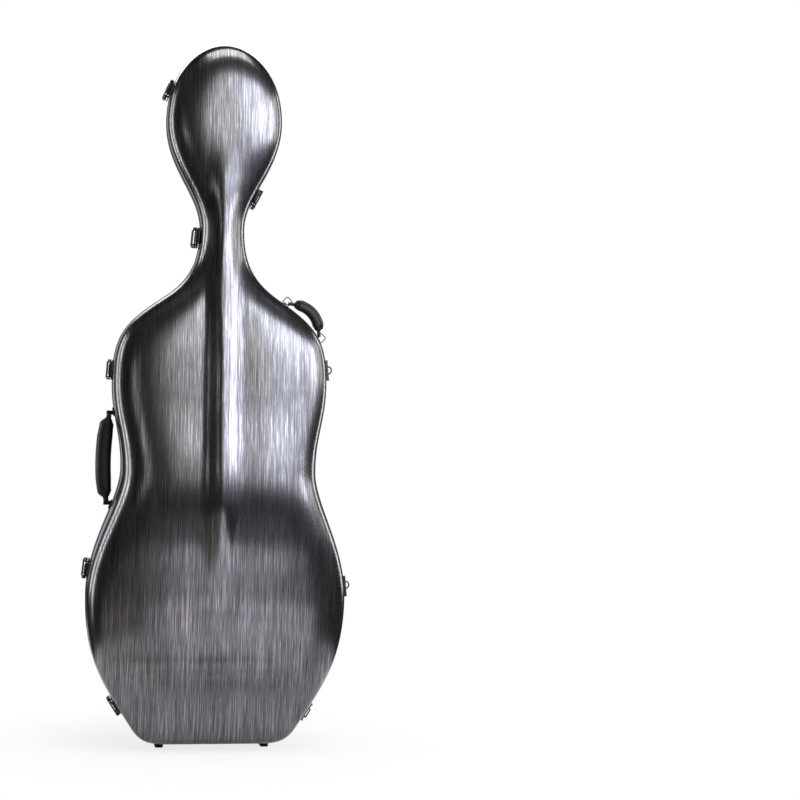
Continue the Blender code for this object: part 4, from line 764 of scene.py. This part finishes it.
def screwHead(place, radius, height):
    # a pan head with a cross recess, along the place's local X
    look = headShape
    slot, reach = radius * look["slot"], radius * look["reach"]

    def spot(u, v):
        angle = 2 * math.pi * (u % 1.0)
        away = radius * min(1, v * look["skirt"])
        y, z = away * math.cos(angle), away * math.sin(angle)
        out = height * (1 - look["drop"] * (away / radius) ** 4)
        if v * look["skirt"] > 1.0:
            out = -look["sink"]
        if (abs(y) < slot and abs(z) < reach) or (abs(z) < slot and abs(y) < reach):
            out -= height * look["recess"]
        return place @ (Vector((out, y, z)) * mm)

    return gridForm(look["around"], look["rings"], spot, weld=weldGap / 4)


ringLook = {"corner": 1.7, "arcSteps": 18}
rings = [name for name in frame["nodes"] if "_ring" in name and "plate" not in name]
for name in rings:
    # the ring's bar lies on its joint, and the arc hangs from it
    joint = jointsByName[name + "_swing"]
    start, axis = Vector(joint["pos_m"]), Vector(joint["axis"]).normalized()
    points = [point - start for point in nodePoints(name)]
    middle = sum(points, Vector()) / len(points)
    hang = (middle - axis * middle.dot(axis)).normalized()
    wire = max(abs(point.dot(axis.cross(hang))) for point in points) / mm
    low = max(point.dot(hang) for point in points) / mm - wire
    side = max(abs(point.dot(axis)) for point in points) / mm - wire
    start = start / mm
    arc = [start + axis * across + hang * drop
           for across, drop in arcPoints(0, low - side, side, 0, 180, ringLook["arcSteps"])]
    bar = roundedPath([arc[-1], start - axis * side, start + axis * side, arc[0]], wire * ringLook["corner"])
    ring = keepPiece(name + "_wire", sweepForm(bar + arc[1:-1], wire, closed=True), coat, name)
    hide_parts(name)
print("rings made:", len(rings))

bailLook = {"wire": 1.4, "half": 8.8, "corner": 3.0, "pivotReach": 18.7, "clearOfCrest": 0.8}
look = bailLook
for latch in latches:
    pivot = jointFrame(f"bail_{latch}_pivot", flip=-1)
    crest = trimShape["catchCrest"] + look["clearOfCrest"] + look["wire"]
    barSpot = pivot.inverted() @ latchPlace(latch) @ (Vector((crest, -trimShape["catchReach"], 0)) * mm) / mm
    half = Vector((0, 0, look["half"]))
    loop = roundedPath([-half, barSpot - half, barSpot + half, half], look["corner"])
    rod = [Vector((0, 0, end)) for end in (-look["pivotReach"], look["pivotReach"])]
    wires = [sweepForm([pivot @ (point * mm) / mm for point in path], look["wire"]) for path in (loop, rod)]
    bail = keepPiece(f"latch_bail_{latch}_wire", joinForms(wires), coat, f"bail_{latch}")
    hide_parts(f"latch_bail_{latch}")
print("bails made")


rayStart = {"back": 0.3, "hinge": 0.03}      # metres, clear of the case and of a hinge's leaf


def meshTree(mesh):
    points = [vert.co for vert in mesh.vertices]
    return BVHTree.FromPolygons(points, [face.vertices for face in mesh.polygons])


def surfaceSpot(name, start, towards):
    # where a ray meets a CAD node, with the face's way out as local X
    spot, normal, _, _ = meshTree(frame["nodes"][name].data).ray_cast(start, towards)
    up = (Vector((0, 0, 1)) - normal * normal.z).normalized()
    return frameAt(spot, normal, up)


def backSpot(name, x, z):
    # the same, looked for from behind the case
    return surfaceSpot(name, Vector((x, rayStart["back"], z)), Vector((0, -1, 0)))


def headsOn(pieceName, body, spots, radius, height):
    # screw heads at these places, as one piece
    keepPiece(pieceName, joinForms([screwHead(spot, radius, height) for spot in spots]), coat, body)


# where the screws stand on their pieces: along the edge or across, and back or down from the top
screwLook = {
    "catch": {"along": (-7.5, 7.5), "back": -15.0, "head": (2.6, 1.1)},
    "baseLeaf": {"along": (-13, 13), "back": 12.5, "head": (2.3, 0.9)},
    "lidLeaf": {"along": (-14, 0, 14), "back": -14.0, "head": (2.3, 0.9)},
}
backScrews = {      # piece: nodes with how far down, places across, and the head's radius and height
    "strap_hook_plate_screws": ({"strap_hook_plate": 5.5}, (-17, 17), (3.2, 1.4)),
    "ring_plate_screws": ({"bottom_ring_plate_left": 7, "bottom_ring_plate_right": 7, "head_ring_plate": 3.6},
                          (0,), (2.6, 1.1)),
    "wheel_bracket_screws": ({"wheel_bracket_left": 10, "wheel_bracket_right": 10}, (-15, 15), (3.0, 1.3)),
}

look = screwLook["catch"]
headsOn("latch_catch_screws", "lid", [latchPlace(latch) @ shifted(trimShape["plate"], look["back"], along)
                                      for latch in latches for along in look["along"]], *look["head"])
hingeFrame = jointFrame("lid_hinge")
hingeOut, hingeUp = hingeFrame.col[0].xyz, hingeFrame.col[2].xyz
for label in ("lower", "upper"):
    for body, _ in halves:
        look = screwLook[body + "Leaf"]
        leaf = f"hinge_{label}_{body}_leaf"
        heights = [(point - hingeFrame.translation).dot(hingeUp) for point in nodePoints(leaf)]
        centre = hingeFrame.translation + hingeUp * (min(heights) + max(heights)) / 2
        above = centre + Vector((0, look["back"] * mm, 0)) + hingeOut * rayStart["hinge"]
        headsOn(leaf + "_screws", body, [surfaceSpot(leaf, above + hingeUp * along * mm, -hingeOut)
                                         for along in look["along"]], *look["head"])
for pieceName, (downs, across, head) in backScrews.items():
    spots = []
    for name, down in downs.items():
        low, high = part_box(name)
        spots += [backSpot(name, (low.x + high.x) / 2 + side * mm, high.z - down * mm) for side in across]
    headsOn(pieceName, "base", spots, *head)
print("screws made")

# profiles of turned pieces: along the axis and radius
boltProfile = [(-0.4, 0), (-0.4, 4.5), (0.6, 4.5), (1.5, 4.1), (2.2, 3.2), (2.6, 2.0), (2.75, 0)]
boltHeight = 1.004      # metres, on the back of the neck
boltSeat = backSpot("base_shell", caseShift.x, boltHeight)
keepPiece("neck_bolt_head", turnedForm(boltProfile, boltSeat), coat, "base", smooth=30)

bumperProfile = [(0, 0), (0, 11.9), (6.6, 11.6), (8.2, 11.1), (9.3, 10.0), (9.9, 8.6), (9.95, 7.2),
                 (9.4, 6.2), (9.2, 0)]
points = nodePoints("back_bumper")
middle = sum(points, Vector()) / len(points)
seat = backSpot("base_shell", middle.x, middle.z)
out = seat.col[0].xyz
seat = Matrix.Translation(out * min((point - seat.translation).dot(out) for point in points)) @ seat
bumperHead = (4.2, 0.9)
bumperForm = turnedForm(bumperProfile, seat, around=64)
bumper = keepPiece("back_bumper_turned", bumperForm, rubber, "base", smooth=40)
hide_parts("back_bumper")
headsOn("back_bumper_screw", "base", [seat @ shifted(bumperProfile[-1][0], 0, 0)], *bumperHead)

wheelLook = {"outer": 25, "half": 9.7, "inner": 11.5, "corner": 3.2, "cornerSteps": 6,
             "hub": 11.3, "hubHalf": 9.3, "bore": 3.1, "dish": 1.6, "dishRim": (9.8, 9.4), "boss": (6.4, 6)}
look = wheelLook
outer, half, corner = look["outer"], look["half"], look["corner"]
shoulder = arcPoints(half - corner, outer - corner, corner, 0, 90, look["cornerSteps"])
tyre = [(-half, look["inner"])] + [(-along, radius) for along, radius in shoulder]
tyre += shoulder[::-1] + [(half, look["inner"]), (-half, look["inner"])]
face, dish = look["hubHalf"], look["hubHalf"] - look["dish"]
(rimTop, rimFoot), (bossFoot, bossTop) = look["dishRim"], look["boss"]
side = [(face, look["hub"]), (face, rimTop), (dish, rimFoot), (dish, bossFoot), (face, bossTop),
        (face, look["bore"])]
hub = [(-along, radius) for along, radius in side[::-1]] + side + [(-face, look["bore"])]
for wheel in ("wheel_left", "wheel_right"):
    place = Matrix.Translation(jointsByName[wheel + "_spin"]["pos_m"])
    rim = keepPiece(wheel + "_tyre", turnedForm(tyre, place, around=96), urethane, wheel, smooth=40)
    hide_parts(wheel)
    centre = keepPiece(wheel + "_core", turnedForm(hub, place, around=64), nylon, wheel, smooth=30)
    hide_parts(wheel)
print("bumper and wheels made")


# soft pieces inside

def paddedForm(outline, halfLength, place, radius, steps=5):
    # a flat outline in local X and Y drawn out along local Z, rounded at its corners and ends
    path = roundedPath([Vector((x, y, 0)) for x, y in outline], radius, closed=True)
    count = len(path)
    turning = sum(path[index - 1].cross(path[index]).z for index in range(count))
    outs = []
    for index in range(count):
        run = (path[(index + 1) % count] - path[index - 1]).normalized()
        outs.append(Vector((run.y, -run.x, 0)) * (1 if turning > 0 else -1))
    ends = arcPoints(radius, halfLength - radius, radius, 90, 180, steps)
    levels = [(inset, -height) for inset, height in ends] + ends[::-1]
    rows = len(levels) - 1

    def spot(u, v):
        index = round(u * count) % count
        inset, height = levels[round(v * rows)]
        point = path[index] - outs[index] * inset
        return place @ (Vector((point.x, point.y, height)) * mm)

    bm = gridForm(count, rows, spot, weld=weldGap / 2)
    bmesh.ops.holes_fill(bm, edges=bm.edges[:], sides=0)
    bmesh.ops.recalc_face_normals(bm, faces=bm.faces)
    return bm


def liningGap(body, spot, towards):
    # mm from a spot to the lining's padded face behind it
    reach = (meshTree(liningPads[body].data).ray_cast(spot, towards)[0] - spot).length / mm
    return reach - liningShape["behindFace"] - liningShape["padding"]


cradleLook = {"groove": 14.5, "rounding": 1.9, "arcSteps": 12, "sunk": 1.5}
look = cradleLook
low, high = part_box("neck_cradle")
gap = max(liningGap("base", Vector(((low.x + high.x) / 2, high.y, z)), Vector((0, 1, 0)))
          for z in (low.z, high.z))
high.y += max(0, gap + look["sunk"]) * mm
halfWide, halfDeep, halfTall = (high - low) / 2 / mm
outline = [(-halfWide, -halfDeep), (-halfWide, halfDeep), (halfWide, halfDeep), (halfWide, -halfDeep)]
outline += arcPoints(0, -halfDeep, look["groove"], 0, 180, look["arcSteps"])
cradleForm = paddedForm(outline, halfTall, Matrix.Translation((low + high) / 2), look["rounding"])
cradle = keepPiece("neck_cradle_pad", cradleForm, plush, "base", smooth=70)
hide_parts("neck_cradle")
print("neck cradle made, from the lining:", round(gap, 2))

pocketLook = {
    "radius": 5.0, "bottomShare": 0.25, "fullness": 6, "bulge": 1.2, "sunk": 1.5, "wall": 2.4,
    "rounding": (0.7, 3, 60), "rows": 60, "around": 72,
    "binding": 1.5, "bindingLevel": 0.985, "bindingOut": 0.2,
    "stitchPitch": 5.2, "stitchRadius": 0.35, "stitchLevel": 0.93, "stitchOut": 0.25, "stitchTurn": 0.03,
    "firstStitch": 1.2, "stitchSpread": 1.12, "stitchLimit": 0.99,
}
look = pocketLook
pocketMesh = frame["nodes"]["bow_pocket"].data
inner = max((face for face in pocketMesh.polygons if face.normal.y > 0.5), key=lambda face: face.area)
outward = inner.normal.copy()
upward = (Vector((0, 0, 1)) - outward * outward.z).normalized()
turn = frameAt(Vector(), outward, upward)
points = [turn.inverted() @ point / mm for point in nodePoints("bow_pocket")]
lows = Vector([min(point[axis] for point in points) for axis in (0, 1, 2)])
highs = Vector([max(point[axis] for point in points) for axis in (0, 1, 2)])
pocketGaps = [liningGap("lid", turn @ Vector((lows[0], (lows[1] + highs[1]) / 2, z)) * mm, -outward)
              for z in (lows[2], highs[2])]
pocketPlace = turn @ Matrix.Translation((lows + highs) / 2 * mm)
halfThick, halfWide, halfTall = (highs - lows) / 2


def pocketPoint(angle, level, grow=0.0):
    # round the pocket's section, a soft-cornered oblong, at a level from 0, its bottom, to 1, its mouth
    # its back reaches to the lining, which slopes away behind it
    look = pocketLook
    close = min(1, level * 2 * halfTall / look["radius"])
    draw = look["bottomShare"] + (1 - look["bottomShare"]) * math.sqrt(max(0, 1 - (1 - close) ** 2))
    out, across = oblongPoint(angle, look["fullness"])
    full = look["bulge"] * math.sin(math.pi * level) * max(0, 1 - across ** 2)
    behind = max(0, pocketGaps[0] + (pocketGaps[1] - pocketGaps[0]) * level + look["sunk"])
    thick = out * (halfThick * draw + grow) + (full if out > 0 else out * behind)
    return pocketPlace @ (Vector((thick, across * (halfWide * draw + grow), halfTall * (2 * level - 1))) * mm)


def pocketSpot(u, v):
    step = 1 / pocketLook["rows"]
    if v < step / 2:        # the bottom drawn to its middle
        return pocketPlace @ (Vector((0, 0, -halfTall)) * mm)
    return pocketPoint(2 * math.pi * (u % 1.0), (v - step) / (1 - step))


pouchForm = gridForm(look["around"], look["rows"], pocketSpot, weld=weldGap / 2)
pouch = keepPiece("bow_pocket_pouch", pouchForm, plush, "lid", smooth=60)
addWall(pouch, look["wall"])
addRounding(pouch, *look["rounding"])
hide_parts("bow_pocket")
turns = [2 * math.pi * step / look["around"] for step in range(look["around"])]
binding = [pocketPoint(angle, look["bindingLevel"], look["bindingOut"]) / mm for angle in turns]
keepPiece("bow_pocket_binding", sweepForm(binding, look["binding"], closed=True), leather, "lid", smooth=60)
stitches = []
for step in range(int(2 * halfWide / look["stitchPitch"]) - 1):
    across = (look["stitchPitch"] * (step + look["firstStitch"]) / halfWide - 1) / look["stitchSpread"]
    angle = math.asin(max(-look["stitchLimit"], min(look["stitchLimit"], across)))
    start, end = [pocketPoint(angle + shift, look["stitchLevel"], look["stitchOut"]) / mm
                  for shift in (-look["stitchTurn"], look["stitchTurn"])]
    stitches.append(sweepForm([start, start.lerp(end, 0.5), end], look["stitchRadius"], around=8))
keepPiece("bow_pocket_stitches", joinForms(stitches), thread, "lid", smooth=60)
print("bow pocket made, from the lining:", [round(gap, 2) for gap in pocketGaps])

knobLook = {
    "profile": [(3.9, 7.2), (4.1, 7.6), (4.0, 15.2), (4.5, 15.9), (5.4, 16.0), (6.6, 15.6), (10.2, 13.3),
                (10.8, 12.6), (11.0, 11.6), (10.7, 10.6), (9.9, 10.0), (9.6, 0)],
    "hub": 7.2, "sunk": 1.5, "barHalf": 9.2, "barWide": 1.9, "barLow": -1.2, "barTop": 1.4,
    "barRounding": 0.9,
}
look = knobLook
spin = jointsByName["bow_turn_knob_spin"]
start, axis = Vector(spin["pos_m"]), Vector(spin["axis"]).normalized()
if axis.y < 0:
    axis = -axis
foot = start + axis * min((point - start).dot(axis) for point in nodePoints("bow_turn_knob"))
gap = liningGap("lid", foot, -axis)
back = -max(0, gap + look["sunk"])
across = axis.orthogonal().normalized()
knobPlace = frameAt(foot, axis, axis.cross(across))
low, top, wide = look["barLow"], look["barTop"], look["barWide"]
knobBar = paddedForm([(low, -wide), (top, -wide), (top, wide), (low, wide)], look["barHalf"],
                     knobPlace @ shifted(look["profile"][-1][0], 0, 0), look["barRounding"], steps=4)
knobTurned = turnedForm([(back, 0), (back, look["hub"])] + look["profile"], knobPlace, around=72)
knob = keepPiece("bow_turn_knob_turned", joinForms([knobTurned, knobBar]), coat, "bow_turn_knob", smooth=35)
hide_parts("bow_turn_knob")
print("turn knob made, from the lining:", round(gap, 2))


# stage, light and camera

stageLook = {
    "floorRadius": 0.62, "paper": "#f2f2f2", "white": 1.0, "worldDim": 0.10, "worldGloss": 0.02,
    "fade": (0.2, 0.58, 0.80),      # two radii, and the share of white inside the first (all past the second)
    "lights": [
        # name, direction from straight in front, distance, width, bottom, top, level, colour
        ("front_edge_low", 3.5, 3.5, 0.55, 0.95, 1.45, 1.6, "#f6f4ea"),
        ("front_edge_high", 3.5, 3.5, 0.55, 1.45, 2.70, 3.9, "#f2f4f2"),
        ("right_softbox_low", 25.5, 3.5, 2.00, 0.95, 1.45, 3.8, "#ecf0ff"),
        ("right_softbox_high", 25.5, 3.5, 2.00, 1.45, 2.70, 7.6, "#ecf0ff"),
        ("right_bright_softbox", 53, 3.3, 1.00, 1.00, 2.30, 11.0, "#f2f1ff"),
        ("right_wall", 80, 3.0, 1.90, 0.90, 2.40, 2.2, "#ffffff"),
        ("left_head_softbox", -30, 3.3, 0.70, 0.95, 1.30, 1.8, "#ffffff"),
        ("left_strip", -94, 2.6, 0.40, -0.20, 2.30, 5.5, "#ffffff"),
        ("low_left_softbox", -26, 3.3, 3.10, -2.80, -0.48, 0.30, "#fff6e4"),
        ("low_right_softbox", 14, 3.4, 1.70, -2.80, -0.70, 2.0, "#f8f2ff"),
        ("back_left_softbox", -118, 3.0, 0.60, 0.10, 2.40, 4.5, "#ffffff"),
        ("back_right_softbox", 118, 3.0, 0.60, 0.10, 2.40, 4.5, "#ffffff"),
        ("back_softbox", 182, 3.6, 3.40, 0.10, 2.00, 0.55, "#f4f0ff"),
        ("back_high_softbox", 182, 3.2, 2.60, 2.10, 3.30, 3.2, "#ffffff"),
        ("low_back_softbox", 176, 3.3, 3.20, -2.60, -0.20, 0.8, "#f8f0ff"),
    ],
    "topSoftbox": ((0.3, -0.6, 3.4), (0.1, 0, 0.7), 2.2, 1.5, 4.5),     # place, aim, width, height, level
}

bm = bmesh.new()
bmesh.ops.create_circle(bm, cap_ends=True, segments=96, radius=stageLook["floorRadius"])
floor = newObject("studio_floor", newMesh("studio_floor", bm))
floorFinish, tree = newFinish("floor_matt_white")      # matt white paper that keeps a soft shadow
coords = addNode(tree, "TexCoord")
nearReach, farReach, nearShare = stageLook["fade"]
reach = addNode(tree, "VectorMath", {0: coords.outputs["Object"]}, operation="LENGTH")
fade = addNode(tree, "MapRange", {
    "Value": reach.outputs["Value"], "From Min": nearReach, "From Max": farReach, "To Min": nearShare,
}, interpolation_type="SMOOTHSTEP")
rays = addNode(tree, "LightPath")
seen = addNode(tree, "Math", {0: fade, 1: rays.outputs["Is Camera Ray"]}, operation="MULTIPLY")
matt = addNode(tree, "BsdfDiffuse", {"Color": hexColour(stageLook["paper"])})
glow = addNode(tree, "Emission", {"Color": (1, 1, 1, 1), "Strength": stageLook["white"]})
floorMix = addNode(tree, "MixShader", {0: seen, 1: matt, 2: glow})
addNode(tree, "OutputMaterial", {"Surface": floorMix})
floor.data.materials.append(floorFinish)

world = bpy.data.worlds.new("studio")
bpy.context.scene.world = world
world.use_nodes = True
tree = world.node_tree
tree.nodes.clear()
rays = addNode(tree, "LightPath")
clear = addNode(tree, "Math", {
    0: rays.outputs["Is Camera Ray"], 1: rays.outputs["Is Transmission Ray"]}, operation="MAXIMUM")
glossy = addNode(tree, "MapRange", {
    "Value": rays.outputs["Is Glossy Ray"],
    "To Min": stageLook["worldDim"], "To Max": stageLook["worldGloss"]})
glow = addNode(tree, "Math", {0: clear, 1: glossy}, operation="MAXIMUM")
air = addNode(tree, "Background", {"Color": (1, 1, 1, 1), "Strength": glow})
addNode(tree, "OutputWorld", {"Surface": air})
print("stage set")


def addSoftbox(name, place, aim, width, height, level, colour):
    data = bpy.data.lights.new(name, "AREA")
    data.shape = "RECTANGLE"
    data.size, data.size_y = width, height
    data.energy = level * width * height * math.pi
    data.color = hexColour(colour)[:3]
    lamp = newObject(name, data)
    lamp.location = place
    lamp.rotation_euler = (Vector(aim) - Vector(place)).to_track_quat("-Z", "Y").to_euler()


for lightName, direction, distance, width, bottom, top, level, colour in stageLook["lights"]:
    angle, height = math.radians(direction), (bottom + top) / 2
    addSoftbox(lightName, (distance * math.sin(angle), -distance * math.cos(angle), height), (0, 0, height),
               width, top - bottom, level, colour)
topPlace, topAim, topWidth, topHeight, topLevel = stageLook["topSoftbox"]
addSoftbox("top_softbox", topPlace, topAim, topWidth, topHeight, topLevel, "#ffffff")

cameraLook = {
    "distance": 4.0, "azimuth": -5.0, "frameWidth": 1.531, "roll": -1.1,
    "pixels": 800, "aimPixel": (218.8, 401.0), "aimHeight": 0.671,      # where the case's middle is seen
    "sensor": 36, "clipEnd": 50,
}
look = cameraLook
azimuth = math.radians(look["azimuth"])
middle = Vector((caseShift.x, caseShift.y, look["aimHeight"]))
pixel = look["frameWidth"] / look["pixels"]
across, down = [(look["pixels"] / 2 - aim) * pixel for aim in look["aimPixel"]]
yaw = math.asin(across / look["distance"])
towards = Vector((math.sin(-azimuth), math.cos(azimuth), 0))
place = middle - towards * look["distance"]
forward = Matrix.Rotation(-yaw, 3, "Z") @ towards
cameraData = bpy.data.cameras.new("photo_camera")
camera = newObject("photo_camera", cameraData)
camera.location = place - Vector((0, 0, down))
turn = forward.to_track_quat("-Z", "Y").to_matrix()
camera.rotation_euler = (Matrix.Rotation(math.radians(look["roll"]), 3, forward) @ turn).to_euler()
cameraData.lens = look["sensor"] * look["distance"] * math.cos(yaw) / look["frameWidth"]
cameraData.clip_end = look["clipEnd"]
bpy.context.scene.camera = camera
bpy.context.scene.view_settings.view_transform = "Standard"
print("camera set")

bpy.context.view_layer.update()
